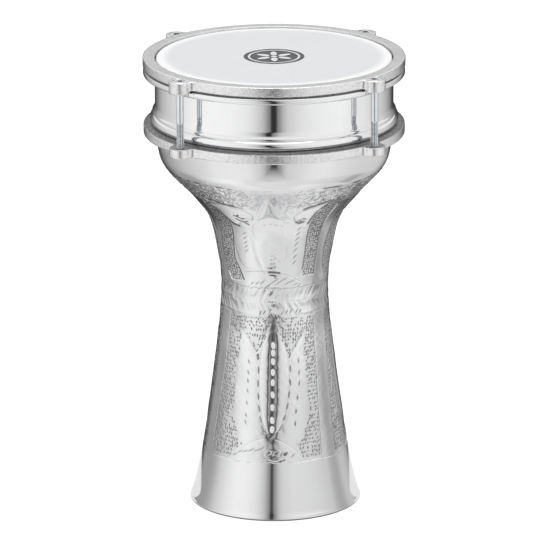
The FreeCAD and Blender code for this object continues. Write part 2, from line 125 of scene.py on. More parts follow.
def waves(th, z, n, lo, hi, seed, stretch=1.0):
    """Smooth noise on the turned surface, about -1 to 1, periodic in th (degrees);
    lo and hi are wave numbers round the turn."""
    rng = np.random.RandomState(seed)
    out = np.zeros(np.broadcast(th, z).shape)
    t = np.radians(th)
    for _ in range(n):
        m = rng.randint(lo, hi + 1)
        k = rng.uniform(-1, 1) * hi / 50.0 * stretch
        out += np.cos(m * t + k * z + rng.uniform(0, 6.283))
    return out / math.sqrt(n)


# ============================================================ node helpers
class Nodes:
    def __init__(self, name, world=False):
        if world:
            self.owner = bpy.data.worlds.new(name)
        else:
            self.owner = bpy.data.materials.new(name)
        self.owner.use_nodes = True
        self.t = self.owner.node_tree
        self.t.nodes.clear()

    def add(self, kind, ins=None, **props):
        n = self.t.nodes.new(kind)
        for k, v in props.items():
            setattr(n, k, v)
        for k, v in (ins or {}).items():
            self.put(n.inputs[k], v)
        return n

    def put(self, sock, v):
        if isinstance(v, bpy.types.NodeSocket):
            self.t.links.new(v, sock)
        elif isinstance(v, bpy.types.Node):
            self.t.links.new(v.outputs[0], sock)
        else:
            sock.default_value = v

    def math(self, op, a, b=0.0, c=0.0, clamp=False):
        n = self.add("ShaderNodeMath", operation=op, use_clamp=clamp)
        for i, v in enumerate((a, b, c)):
            if i < len(n.inputs):
                self.put(n.inputs[i], v)
        return n.outputs[0]

    def rng(self, v, a, b, c, d, smooth=False):
        n = self.add("ShaderNodeMapRange", interpolation_type="SMOOTHSTEP" if smooth else "LINEAR")
        n.clamp = True
        for k, x in zip(("Value", "From Min", "From Max", "To Min", "To Max"), (v, a, b, c, d)):
            self.put(n.inputs[k], x)
        return n.outputs[0]

    def noise(self, vec, scale, detail=3.0, rough=0.55, dist=0.0):
        n = self.add("ShaderNodeTexNoise", {"Vector": vec, "Scale": scale, "Detail": detail,
                                            "Roughness": rough, "Distortion": dist})
        return n.outputs["Fac"]

    def mixc(self, f, a, b, blend="MIX"):
        n = self.add("ShaderNodeMix", data_type="RGBA", blend_type=blend)
        self.put(n.inputs[0], f)
        self.put(n.inputs[6], a)
        self.put(n.inputs[7], b)
        return n.outputs[2]

    def obj(self):
        return self.add("ShaderNodeTexCoord").outputs["Object"]

    def polar(self, ring=900.0, up=9000.0):
        """Object coordinates split into x, y and z, and the distance from the turning axis."""
        sep = self.add("ShaderNodeSeparateXYZ", {0: self.obj()})
        r = self.math("SQRT", self.math("ADD", self.math("POWER", sep.outputs[0], 2.0),
                                        self.math("POWER", sep.outputs[1], 2.0)))
        return sep, r

    def bump(self, height, strength, dist, normal=None):
        n = self.add("ShaderNodeBump", {"Height": height, "Strength": strength, "Distance": dist})
        if normal is not None:
            self.put(n.inputs["Normal"], normal)
        return n.outputs[0]

    def finish(self, shader):
        out = self.add("ShaderNodeOutputMaterial")
        self.t.links.new(shader, out.inputs["Surface"])
        return self.owner


def rgb(r, g=None, b=None):
    g = r if g is None else g
    b = r if b is None else b
    return (r, g, b, 1.0)


# ============================================================ materials
def turned_metal(name, base, rough, line=1.0, punched=False, grime_and_shade=0.5):
    """Polished spun aluminium: faint lathe and buffing lines round the turn,
    soft hazy clouds in the polish, a few hair scratches, and, when punched,
    darker and rougher metal where the chasing tools struck, painted shade where
    the punch attribute marks creases and gaps, and darker dull patches that are
    partly painted shade."""
    m = Nodes(name)
    sep, r = m.polar()
    x, y, z = sep.outputs
    # lathe lines: noise stretched round the turn
    zz = m.math("ADD", z, m.math("MULTIPLY", r, 0.35))
    vec = m.add("ShaderNodeCombineXYZ", {0: m.math("MULTIPLY", x, 6.0), 1: m.math("MULTIPLY", y, 6.0),
                                         2: m.math("MULTIPLY", zz, 1500.0)}).outputs[0]
    lines = m.noise(vec, 1.0, 4.0, 0.65)
    vec2 = m.add("ShaderNodeCombineXYZ", {0: m.math("MULTIPLY", x, 20.0), 1: m.math("MULTIPLY", y, 20.0),
                                          2: m.math("MULTIPLY", zz, 5200.0)}).outputs[0]
    fine = m.noise(vec2, 1.0, 2.0, 0.6)
    cloud = m.noise(m.obj(), 26.0, 4.0, 0.6, 0.4)
    speck = m.noise(m.obj(), 900.0, 2.0, 0.5)
    # hair scratches at odd angles
    sv = m.add("ShaderNodeVectorRotate", {"Vector": m.obj(), "Angle": 0.6}, rotation_type="X_AXIS").outputs[0]
    sv = m.add("ShaderNodeMapping", {"Vector": sv, "Scale": (60.0, 60.0, 2600.0)}).outputs[0]
    scr = m.rng(m.noise(sv, 1.0, 2.0, 0.5), 0.66, 0.74, 0.0, 1.0)
    rr = m.rng(cloud, 0.3, 0.7, rough * 0.82, rough * 1.25)
    rr = m.math("ADD", rr, m.math("MULTIPLY", m.math("SUBTRACT", lines, 0.5), rough * 0.5))
    rr = m.math("ADD", rr, m.math("MULTIPLY", scr, 0.05))
    col = m.mixc(m.rng(cloud, 0.35, 0.68, 0.0, 1.0), rgb(*[c * 0.975 for c in base]), rgb(*base))
    col = m.mixc(m.rng(speck, 0.62, 0.74, 0.0, 0.12), col, rgb(base[0] * 0.72, base[1] * 0.72, base[2] * 0.73))
    bump_h = m.math("ADD", m.math("MULTIPLY", lines, 0.7), m.math("MULTIPLY", fine, 0.3))
    if punched:
        p = m.add("ShaderNodeAttribute", attribute_name="punch").outputs["Fac"]
        c = m.add("ShaderNodeAttribute", attribute_name="chase").outputs["Fac"]
        sat = m.add("ShaderNodeAttribute", attribute_name="satin").outputs["Fac"]
        dull = m.add("ShaderNodeAttribute", attribute_name="dull").outputs["Fac"]
        hammer = m.noise(m.obj(), 330.0, 3.0, 0.6, 0.3)
        # oxide and painted shade: the punch attribute darkens the tool marks with oxide, and on the foot rim and the
        # hoop's top lip it paints shade for the contact line and the slot under the top ring
        dirt_and_shade = m.math("MULTIPLY", p, m.rng(hammer, 0.3, 0.7, 0.80, 1.0))
        dirt_and_shade = m.math("SUBTRACT", 1.0, m.math("POWER", m.math("SUBTRACT", 1.0, dirt_and_shade), 1.6))
        # the dull attribute darkens and roughens the metal: dull chased ground, and painted shade on the panel sides,
        # neck, waist, crown and upper borders
        col = m.mixc(m.math("MULTIPLY", dull, m.rng(cloud, 0.3, 0.7, 0.95, 0.75)), col, rgb(0.32, 0.32, 0.33))
        rr = m.math("ADD", rr, m.math("MULTIPLY", dull, 0.12))
        rr = m.math("ADD", rr, m.math("MULTIPLY", sat, 0.26))
        col = m.mixc(m.math("MULTIPLY", sat, m.rng(cloud, 0.3, 0.7, 0.9, 1.0)), col, rgb(0.972, 0.972, 0.975))
        col = m.mixc(m.math("MULTIPLY", dirt_and_shade, grime_and_shade), col, rgb(0.060, 0.060, 0.064))
        col = m.mixc(m.math("MULTIPLY", c, 0.08), col, rgb(0.62, 0.625, 0.64))
        rr = m.math("ADD", rr, m.math("MULTIPLY", c, 0.065))
        rr = m.math("ADD", rr, m.math("MULTIPLY", p, 0.22))
        bump_h = m.math("ADD", bump_h, m.math("MULTIPLY", m.math("MULTIPLY", hammer, c), 2.2))
    nor = m.bump(bump_h, 0.06 * line, 0.0004)
    sh = m.add("ShaderNodeBsdfPrincipled", {"Base Color": col, "Metallic": 1.0, "Roughness": rr, "Normal": nor})
    return m.finish(sh.outputs[0])


def cast_metal(name, base, rough, grain=1.0):
    """Sand-cast and tumbled aluminium: matte, mottled and pitted on top,
    linished brighter round the outside, rubbed along the edges, which are
    also lightened as a painted highlight, and darkened by painted shade on
    the upward faces of the lower ring."""
    m = Nodes(name)
    o = m.obj()
    at = lambda k: m.add("ShaderNodeAttribute", attribute_name=k).outputs["Fac"]
    rub, edge, painted_top_face_shade = at("rubbed"), at("edge"), at("painted_top_face_shade")
    big = m.noise(o, 60.0, 4.0, 0.6, 0.3)
    mid = m.noise(o, 420.0, 5.0, 0.68, 0.2)
    sand = m.noise(o, 1700.0, 3.0, 0.6)
    pits = m.rng(m.noise(o, 640.0, 2.0, 0.5, 0.6), 0.63, 0.72, 0.0, 1.0)
    fv = m.add("ShaderNodeMapping", {"Vector": o, "Scale": (620.0, 620.0, 150.0)}).outputs[0]
    filed = m.noise(fv, 1.0, 3.0, 0.6)
    col = m.mixc(m.rng(big, 0.3, 0.7, 0.0, 1.0), rgb(*[c * 0.86 for c in base]), rgb(*base))
    col = m.mixc(m.rng(mid, 0.38, 0.66, 0.0, 0.60), col, rgb(*[min(1, c * 1.2) for c in base]))
    lin = m.mixc(m.rng(filed, 0.34, 0.66, 0.0, 1.0), rgb(0.80, 0.80, 0.805), rgb(0.90, 0.90, 0.905))
    col = m.mixc(m.math("MULTIPLY", rub, 0.85), col, lin)
    col = m.mixc(m.rng(sand, 0.56, 0.70, 0.0, 0.34), col, rgb(0.40, 0.40, 0.405))
    col = m.mixc(m.rng(sand, 0.44, 0.32, 0.0, 0.50), col, rgb(0.95, 0.95, 0.955))
    # edges lightened: rubbed wear, and a painted highlight along them
    col = m.mixc(m.math("MULTIPLY", edge, 0.60), col, rgb(0.95, 0.95, 0.955))
    col = m.mixc(m.math("MULTIPLY", pits, 0.38), col, rgb(*[c * 0.40 for c in base]))
    # painted shade: the upward faces of the lower ring are darkened
    col = m.mixc(m.math("MULTIPLY", painted_top_face_shade, m.rng(mid, 0.3, 0.7, 0.92, 0.74)), col, rgb(0.13, 0.13, 0.135))
    rr = m.rng(mid, 0.3, 0.7, rough + 0.06, rough - 0.06)
    rr = m.math("SUBTRACT", rr, m.math("MULTIPLY", rub, 0.15))
    rr = m.math("SUBTRACT", rr, m.math("MULTIPLY", edge, 0.06))
    rr = m.math("ADD", rr, m.math("MULTIPLY", pits, 0.10))
    h = m.math("ADD", m.math("MULTIPLY", mid, 0.9), m.math("MULTIPLY", sand, 0.5))
    h = m.math("SUBTRACT", h, m.math("MULTIPLY", pits, 0.8))
    h = m.math("ADD", h, m.math("MULTIPLY", filed, 0.25))
    nor = m.bump(h, m.rng(rub, 0.0, 1.0, 0.60 * grain, 0.34 * grain), 0.0003)
    sh = m.add("ShaderNodeBsdfPrincipled", {"Base Color": col, "Metallic": 1.0, "Roughness": rr, "Normal": nor})
    return m.finish(sh.outputs[0])


def zinc(name):
    """Bright zinc plating, clear and slightly blue, with a faint spangle and
    a few duller patches."""
    m = Nodes(name)
    o = m.obj()
    spangle = m.noise(o, 1300.0, 3.0, 0.6, 0.5)
    big = m.noise(o, 160.0, 3.0, 0.6)
    dull = m.rng(m.noise(o, 420.0, 3.0, 0.6), 0.56, 0.70, 0.0, 1.0)
    col = m.mixc(m.rng(big, 0.3, 0.7, 0.0, 1.0), rgb(0.72, 0.745, 0.775), rgb(0.80, 0.82, 0.84))
    col = m.mixc(m.math("MULTIPLY", dull, 0.10), col, rgb(0.42, 0.44, 0.47))
    # painted shade: the hex socket, the countersink seat edge and the thread roots are darkened
    recess_shade = m.add("ShaderNodeAttribute", attribute_name="painted_recess_shade").outputs["Fac"]
    col = m.mixc(m.math("MULTIPLY", recess_shade, m.rng(big, 0.3, 0.7, 0.97, 0.85)), col, rgb(0.05, 0.05, 0.052))
    rr = m.math("ADD", m.rng(spangle, 0.3, 0.7, 0.035, 0.06), m.math("MULTIPLY", dull, 0.05))
    rr = m.math("ADD", rr, m.math("MULTIPLY", recess_shade, 0.2))
    nor = m.bump(spangle, 0.008, 0.0001)
    sh = m.add("ShaderNodeBsdfPrincipled", {"Base Color": col, "Metallic": 1.0, "Roughness": rr, "Normal": nor})
    return m.finish(sh.outputs[0])


def film_plastic(name):
    """Milky polyester skin: matte fine-grained top with cloudy thickness
    variation, whiter towards the moulded rim."""
    m = Nodes(name)
    sep, r = m.polar()
    o = m.obj()
    cloud = m.noise(o, 30.0, 4.0, 0.6, 0.4)
    fine = m.noise(o, 2600.0, 3.0, 0.6)
    mid = m.noise(o, 300.0, 3.0, 0.6)
    edge = m.rng(r, 0.0800, 0.0890, 0.0, 1.0, True)
    core = m.mixc(m.rng(cloud, 0.3, 0.7, 0.0, 1.0), rgb(0.730, 0.742, 0.762), rgb(0.748, 0.760, 0.778))
    col = m.mixc(edge, core, rgb(0.95, 0.952, 0.955))
    col = m.mixc(m.rng(mid, 0.55, 0.72, 0.0, 0.05), col, rgb(0.60, 0.61, 0.63))
    rr = m.math("ADD", m.rng(cloud, 0.3, 0.7, 0.36, 0.44), m.math("MULTIPLY", fine, 0.05))
    nor = m.bump(m.math("ADD", fine, m.math("MULTIPLY", mid, 0.6)), 0.05, 0.0002)
    sh = m.add("ShaderNodeBsdfPrincipled", {"Base Color": col, "Metallic": 0.0, "Roughness": rr,
                                            "Normal": nor, "Specular IOR Level": 0.35, "IOR": 1.5})
    return m.finish(sh.outputs[0])


def ink(name, base, vary, rough):
    """Screen-printed ink, slightly uneven, with pinholes."""
    m = Nodes(name)
    o = m.obj()
    cloud = m.noise(o, 140.0, 4.0, 0.6)
    dots = m.noise(o, 2400.0, 2.0, 0.5)
    col = m.mixc(m.rng(cloud, 0.3, 0.7, 0.0, 1.0), rgb(*base), rgb(*vary))
    col = m.mixc(m.rng(dots, 0.66, 0.74, 0.0, 0.35), col, rgb(0.5, 0.5, 0.51))
    rr = m.rng(cloud, 0.3, 0.7, rough - 0.04, rough + 0.06)
    nor = m.bump(dots, 0.05, 0.0001)
    sh = m.add("ShaderNodeBsdfPrincipled", {"Base Color": col, "Roughness": rr, "Normal": nor})
    return m.finish(sh.outputs[0])


def resin_plastic(name):
    m = Nodes(name)
    o = m.obj()
    cloud = m.noise(o, 120.0, 4.0, 0.6)
    bub = m.noise(o, 1400.0, 2.0, 0.5)
    col = m.mixc(m.rng(cloud, 0.3, 0.7, 0.0, 1.0), rgb(0.30, 0.29, 0.27), rgb(0.40, 0.385, 0.36))
    rr = m.rng(bub, 0.3, 0.7, 0.25, 0.40)
    nor = m.bump(bub, 0.2, 0.0002)
    sh = m.add("ShaderNodeBsdfPrincipled", {"Base Color": col, "Roughness": rr, "Normal": nor})
    return m.finish(sh.outputs[0])


M_SHELL = turned_metal("spun_aluminium", (0.905, 0.907, 0.913), 0.034, 0.45, punched=True, grime_and_shade=0.92)
M_HOOP = turned_metal("polished_hoop", (0.89, 0.893, 0.897), 0.05, 0.6, punched=True, grime_and_shade=0.95)
M_CAST = cast_metal("sand_cast_aluminium", (0.74, 0.74, 0.745), 0.37)
M_ZINC = zinc("zinc_plate")
M_FILM = film_plastic("milky_film")
M_INK = ink("dark_print", (0.045, 0.045, 0.047), (0.060, 0.060, 0.062), 0.42)
M_INK_W = ink("pale_print", (0.74, 0.75, 0.77), (0.79, 0.80, 0.81), 0.40)
M_RESIN = resin_plastic("potting_resin")

# ============================================================ goblet profile
POLES = [
    (65.85, 2.10, 0.9677, 0.2519), (64.14, 8.68, 0.9694, 0.2456), (59.27, 27.81, 0.9801, 0.1986),
    (53.55, 63.91, 0.9885, 0.1511), (47.24, 106.57, 0.9920, 0.1260), (42.76, 149.24, 0.9967, 0.0817),
    (40.79, 182.79, 0.9988, -0.0488), (45.56, 210.29, 0.9830, -0.1838), (49.51, 230.03, 0.9125, -0.4090),
    (60.91, 244.51, 0.7744, -0.6327), (70.00, 255.22, 0.7361, -0.6769), (78.97, 264.19, 0.7204, -0.6936),
    (85.36, 271.11, 0.8136, -0.5814), (88.85, 277.72, 0.9411, -0.3380), (90.11, 283.96, 0.9852, -0.1713),
    (91.18, 291.29, 0.9966, -0.0829), (91.33, 296.67, 0.9989, -0.0465), (91.50, 300.00, 0.9987, -0.0513),
]
KNOTS = [0.0, 0.06528, 0.18804, 0.34865, 0.47653, 0.59761, 0.66825, 0.74176,
         0.78841, 0.83886, 0.87846, 0.90783, 0.9292, 0.94889, 0.96814, 1.0]
WALL = 2.6


def bspline(poles, knots, n):
    """Points of a clamped cubic B-spline."""
    p = np.asarray(poles, float)
    t = np.concatenate([[knots[0]] * 3, knots, [knots[-1]] * 3])
    u = np.linspace(knots[0], knots[-1], n)
    u[-1] -= 1e-12
    basis = np.zeros((len(t) - 1, n))
    for i in range(len(t) - 1):
        basis[i] = (u >= t[i]) & (u < t[i + 1])
    for d in range(1, 4):
        nb = np.zeros((len(t) - 1 - d, n))
        for i in range(len(t) - 1 - d):
            if t[i + d] > t[i]:
                nb[i] += (u - t[i]) / (t[i + d] - t[i]) * basis[i]
            if t[i + d + 1] > t[i + 1]:
                nb[i] += (t[i + d + 1] - u) / (t[i + d + 1] - t[i + 1]) * basis[i + 1]
        basis = nb
    return basis.T @ p


OUT = bspline([(a, b) for a, b, _, _ in POLES], KNOTS, 6000)
INN = bspline([(a - WALL * c, b - WALL * d) for a, b, c, d in POLES], KNOTS, 3000)
OUT_S = np.concatenate([[0], np.cumsum(np.hypot(*np.diff(OUT, axis=0).T))])
S_OF_Z = lambda z: np.interp(z, OUT[:, 1], OUT_S)


def rows_between(z0, z1, step):
    s0, s1 = S_OF_Z(z0), S_OF_Z(z1)
    n = max(2, int(round((s1 - s0) / step)) + 1)
    s = np.linspace(s0, s1, n)
    return np.stack([np.interp(s, OUT_S, OUT[:, 0]), np.interp(s, OUT_S, OUT[:, 1])], -1)


# ============================================================ chased ornament
NC = 1020                      # columns round the ornament
STEP = 0.43
Z_LO, Z_HI = 38.0, 274.5
ORN = rows_between(Z_LO, Z_HI, STEP)
ZR, RR = ORN[:, 1], ORN[:, 0]
SR = S_OF_Z(ZR)
# outward normals of the profile
_d = np.gradient(ORN, axis=0)
_l = np.hypot(_d[:, 0], _d[:, 1])
NR, NZ = _d[:, 1] / _l, -_d[:, 0] / _l
DTH = 360.0 / NC
TH = np.arange(NC) * DTH        # angle seen from the camera's side: theta' of each column
H = np.zeros((len(ZR), NC))     # relief, mm, outward
P = np.zeros((len(ZR), NC))     # how strongly the tools struck
C = np.zeros((len(ZR), NC))     # chased ground
S = np.zeros((len(ZR), NC))     # satin: left from the mould, not buffed


def s_at(z):
    return np.interp(z, ZR, SR)


def window(th, z, rad_u, rad_v):
    s0 = s_at(z)
    i0 = int(np.searchsorted(SR, s0 - rad_v))
    i1 = min(int(np.searchsorted(SR, s0 + rad_v)) + 1, len(SR))
    r0 = float(np.interp(z, ZR, RR))
    k = int(math.degrees(rad_u / r0) / DTH) + 2
    j0 = int(round(th / DTH))
    cols = np.arange(j0 - k, j0 + k + 1)
    du = r0 * np.radians(cols * DTH - th)[None]
    dv = (SR[i0:i1] - s0)[:, None]
    return slice(i0, i1), cols % NC, du, dv


def dent(th, z, a, b, rot, depth, punch=0.0, rim=0.15, power=1.3):
    """One tool mark: an oval a by b mm (half lengths), its long side turned rot
    degrees from level, positive to the upper right."""
    m = max(a, b) * 2.4
    ri, cj, du, dv = window(th, z, m, m)
    c, s = math.cos(math.radians(rot)), math.sin(math.radians(rot))
    x, y = du * c + dv * s, -du * s + dv * c
    q = np.sqrt((x / a) ** 2 + (y / b) ** 2)
    g = np.exp(-(q ** (2 * power)))
    g2 = np.exp(-((q - 1.45) / 0.38) ** 2)
    rows = np.arange(ri.start, ri.stop)[:, None]
    H[rows, cj[None]] += -depth * g + rim * depth * g2
    if punch:
        P[rows, cj[None]] = np.maximum(P[rows, cj[None]], punch * g)


def region(pts):
    """Where a closed shape given by (theta', z) lies on the grid: its rows and
    columns, and the grid and outline points in mm along the surface."""
    pts = np.asarray(pts, float)
    tc = pts[:, 0].mean()
    margin = 9.0
    z0, z1 = pts[:, 1].min() - margin, pts[:, 1].max() + margin
    i0, i1 = int(np.searchsorted(ZR, z0)), int(np.searchsorted(ZR, z1))
    j0 = int((pts[:, 0].min() - 12) / DTH)
    j1 = int((pts[:, 0].max() + 12) / DTH) + 1
    cols = np.arange(j0, j1)
    u = RR[i0:i1, None] * np.radians(cols * DTH - tc)[None]
    v = np.repeat(SR[i0:i1, None], len(cols), 1)
    pu = np.interp(pts[:, 1], ZR, RR) * np.radians(pts[:, 0] - tc)
    pv = np.interp(pts[:, 1], ZR, SR)
    return i0, i1, cols % NC, u, v, pu, pv


def seg_dist(u, v, pu, pv, closed):
    n = len(pu)
    best = np.full(u.shape, 1e9)
    for k in range(n if closed else n - 1):
        k2 = (k + 1) % n
        ax, ay, bx, by = pu[k], pv[k], pu[k2], pv[k2]
        dx, dy = bx - ax, by - ay
        L = dx * dx + dy * dy + 1e-12
        t = np.clip(((u - ax) * dx + (v - ay) * dy) / L, 0, 1)
        best = np.minimum(best, (u - ax - t * dx) ** 2 + (v - ay - t * dy) ** 2)
    return np.sqrt(best)


def inside(u, v, pu, pv):
    c = np.zeros(u.shape, bool)
    n = len(pu)
    for k in range(n):
        k2 = (k + 1) % n
        cond = (pv[k] > v) != (pv[k2] > v)
        with np.errstate(divide="ignore", invalid="ignore"):
            xi = (pu[k2] - pu[k]) * (v - pv[k]) / (pv[k2] - pv[k] + 1e-12) + pu[k]
        c ^= cond & (u < xi)
    return c


def curve(pts, closed=False, n=8):
    """Catmull-Rom through the points."""
    p = np.asarray(pts, float)
    m = len(p)
    out = []
    for k in range(m if closed else m - 1):
        g = lambda i: p[i % m] if closed else p[min(max(i, 0), m - 1)]
        p0, p1, p2, p3 = g(k - 1), g(k), g(k + 1), g(k + 2)
        for t in np.arange(n) / n:
            out.append(0.5 * (2 * p1 + (p2 - p0) * t + (2 * p0 - 5 * p1 + 4 * p2 - p3) * t * t
                              + (3 * p1 - p0 - 3 * p2 + p3) * t ** 3))
    if not closed:
        out.append(p[-1])
    return np.array(out)


def shape(pts, lift=0.0, edge=0.8, pillow=0.0, soft=4.0, groove=0.0, gw=0.45, ground=0.0, tone=0.0, ridge=None):
    i0, i1, cj, u, v, pu, pv = region(pts)
    d = seg_dist(u, v, pu, pv, True)
    ins = inside(u, v, pu, pv)
    sd = np.where(ins, d, -d)
    h = lift * smoothstep(sd, -edge, edge)
    if pillow:
        h = h + pillow * (1 - np.exp(-np.clip(sd, 0, None) / soft)) * ins
    if groove:
        h = h - groove * np.exp(-((d / gw) ** 2))
    rows = np.arange(i0, i1)[:, None]
    H[rows, cj[None]] += h
    if ground:
        w = smoothstep(sd, -0.6, 0.6) * ground
        C[rows, cj[None]] = np.maximum(C[rows, cj[None]], w)
    if tone:
        P[rows, cj[None]] = np.maximum(P[rows, cj[None]], tone * np.exp(-((d / gw) ** 2)))


def stroke(pts, depth, w, tone=0.0, rim=0.25):
    """A chased line with metal pushed up beside it."""
    i0, i1, cj, u, v, pu, pv = region(pts)
    d = seg_dist(u, v, pu, pv, False)
    rows = np.arange(i0, i1)[:, None]
    g = np.exp(-((d / w) ** 2))
    H[rows, cj[None]] += -depth * g + rim * depth * np.exp(-(((d - 2.1 * w) / (0.9 * w)) ** 2))
    if tone:
        P[rows, cj[None]] = np.maximum(P[rows, cj[None]], tone * g)


def in_poly(th, z, poly):
    c = False
    n = len(poly)
    for k in range(n):
        x1, y1 = poly[k]
        x2, y2 = poly[(k + 1) % n]
        if (y1 > z) != (y2 > z) and th < (x2 - x1) * (z - y1) / (y2 - y1) + x1:
            c = not c
    return c


def panel(centre, wide, wob, rng):
    """Engraves one panel. centre and wide map the front panel's own angles to
    this panel; wob is how unevenly the hand worked."""
    G = lambda a: centre + a * wide
    J = lambda s=1.0: rng.normal(0, wob * s)

    def pts(seq, j=1.0):
        return [(G(a) + J(0.5 * j), z + J(0.5 * j)) for a, z in seq]

    # ---- ground areas, set back a little and stippled
    left = [(-52.7, 159), (-35.4, 159), (-35.4, 147), (-39, 127), (-41, 102), (-40, 77), (-31, 61), (-27, 57.5),
            (-41, 46.5), (-60.8, 46.5), (-59.4, 80), (-55.4, 120)]
    right = [(44.6, 159), (33, 159), (33, 147), (30.3, 127), (32, 102), (31.5, 80), (22.9, 62), (17, 58.5),
             (23, 46.5), (40.4, 46.5), (41.7, 80), (44, 120)]
    band = [(-52.7, 159.5), (44.6, 159.5), (44.6, 146), (-52.7, 146)]
    tri_l = [(-35.4, 147), (-5.5, 147), (-11.4, 139.5), (-17, 131)]
    tri_r = [(3.0, 147), (33, 147), (14, 128), (9.0, 137.5)]
    for poly, dep in ((left, 0.13), (right, 0.13), (tri_l, 0.12), (tri_r, 0.12)):
        shape(pts(poly, 0.4), lift=-dep, edge=1.6, ground=1.0)
    shape(pts(band, 0.3), lift=-0.08, edge=1.4, ground=1.0)
    up_l = [(-51, 185), (-56, 192), (-59.3, 200), (-59.6, 211), (-57.2, 223), (-54.6, 245), (-54.2, 254), (-49.5, 252.5), (-45, 246),
            (-41.8, 238.5), (-40.6, 228), (-43.4, 214), (-43.9, 203), (-39, 195), (-35, 186.5)]
    up_r = [(44.8, 190), (45.0, 220), (46.5, 245), (51, 258), (43.0, 257.5), (37.5, 253.0), (32.5, 245), (30.6, 236), (31, 210),
            (30, 190)]
    for poly, dep in ((up_l, 0.20), (up_r, 0.20)):
        shape(pts(poly, 0.4), lift=-dep, edge=0.8, ground=1.0)

    def stipple(poly, row, pitch, a, b, dep, pun, tilt=0.0, keep=0.96):
        zs = [p[1] for p in poly]
        ths = [p[0] for p in poly]
        z = min(zs) + row * 0.6
        k = 0
        while z < max(zs) - row * 0.2:
            lean = rng.normal(0, 0.25)
            t = min(ths) + (0.5 * pitch if k % 2 else 0.0)
            while t < max(ths):
                tt = t + rng.normal(0, pitch * 0.16)
                z2 = z + rng.normal(0, row * 0.10) + lean * math.sin(t * 0.11 + k)
                if in_poly(tt, z2, poly) and rng.rand() < keep:
                    f = rng.uniform(0.75, 1.2)
                    dent(G(tt), z2, a * f, b * rng.uniform(0.8, 1.15), tilt + rng.normal(0, 14),
                         dep * rng.uniform(0.7, 1.2), pun * rng.uniform(0.75, 1.0), rim=0.12)
                t += pitch * rng.uniform(0.85, 1.15)
            z += row * (1 + rng.normal(0, 0.06))
            k += 1

    def ticks(poly, row0, row1, pitch, long, wide_, dep, pun, keep=0.88):
        """Rows of short upright cuts made with a small chisel, crowded and
        uneven; rows close up from row0 at the bottom to row1 at the top."""
        zs = [p[1] for p in poly]
        ths = [p[0] for p in poly]
        z, k = min(zs) + row0 * 0.5, 0
        za, zb = min(zs), max(zs)
        while z < zb - 0.6:
            row = row0 + (row1 - row0) * (z - za) / (zb - za)
            step = math.degrees(pitch / float(np.interp(z, ZR, RR)))
            t = min(ths) + rng.uniform(0, step)
            gain = rng.uniform(0.8, 1.0)
            ph = rng.uniform(0, 6.28)
            while t < max(ths):
                dense = 0.5 + 0.5 * math.sin(t * 0.37 + ph)
                z2 = z + rng.normal(0, row * 0.10)
                if in_poly(t, z2, poly) and rng.rand() < keep * (0.72 + 0.28 * dense):
                    if rng.rand() < 0.3:
                        dent(G(t), z2 + rng.uniform(-0.5, 0.9), long * rng.uniform(0.7, 1.1), wide_ * 0.72, rng.normal(0, 14),
                             dep * rng.uniform(0.6, 1.1), pun * gain * rng.uniform(0.5, 1.0), rim=0.10)
                    else:
                        dent(G(t), z2, long * rng.uniform(0.7, 1.35), wide_ * rng.uniform(0.72, 1.0), 84 + rng.normal(0, 15),
                             dep * rng.uniform(0.7, 1.2), pun * gain * rng.uniform(0.75, 1.0), rim=0.10)
                t += step * rng.uniform(0.75, 1.3)
            z += row * (1 + rng.normal(0, 0.07))
            k += 1

    ticks(left, 3.2, 2.6, 1.9, 1.15, 0.66, 0.32, 1.0)
    ticks(right, 3.2, 2.6, 1.9, 1.15, 0.66, 0.32, 1.0)
    ticks([(-35.4, 158.5), (33, 158.5), (33, 147), (-35.4, 147)], 2.7, 2.6, 1.95, 1.0, 0.58, 0.28, 1.0)
    ticks(tri_l, 2.9, 2.7, 1.95, 1.0, 0.58, 0.28, 1.0)
    ticks(tri_r, 2.9, 2.7, 1.95, 1.0, 0.58, 0.28, 1.0)
    # upper columns: bright beads left standing on a dark matted ground
    for poly in (up_l, up_r):
        i0, i1, cj, u, v, pu, pv = region(pts(poly, 0.0))
        w = smoothstep(np.where(inside(u, v, pu, pv), seg_dist(u, v, pu, pv, True), -1.0), -0.2, 0.5)
        rows = np.arange(i0, i1)[:, None]
        P[rows, cj[None]] = np.maximum(P[rows, cj[None]], w * (0.52 + 0.26 * smoothstep(ZR[i0:i1, None], 216, 242)))
        zs = [p[1] for p in poly]
        z, k = min(zs) + 0.6, 0
        while z < 258:
            step = math.degrees(1.95 / float(np.interp(z, ZR, RR)))
            t = min(p[0] for p in poly) + (0.5 * step if k % 2 else 0.2)
            while t < max(p[0] for p in poly):
                t2, z2 = t + rng.normal(0, 0.12 * step), z + rng.normal(0, 0.22)
                if in_poly(t2, z2, poly) and rng.rand() < 0.93:
                    ri, cc, du, dv = window(G(t2), z2, 1.6, 1.6)
                    q = np.sqrt((du / 0.74) ** 2 + (dv / 0.80) ** 2)
                    rr_ = np.arange(ri.start, ri.stop)[:, None]
                    b = np.exp(-q ** 2.6)
                    H[rr_, cc[None]] += 0.16 * b
                    core = (1 - smoothstep(q, 0.62, 1.15)) * rng.uniform(0.8, 1.0)
                    P[rr_, cc[None]] *= 1 - core
                    S[rr_, cc[None]] = np.maximum(S[rr_, cc[None]], core)
                t += step * rng.uniform(0.88, 1.14)
            z += 1.95 * (1 + rng.normal(0, 0.06))
            k += 1

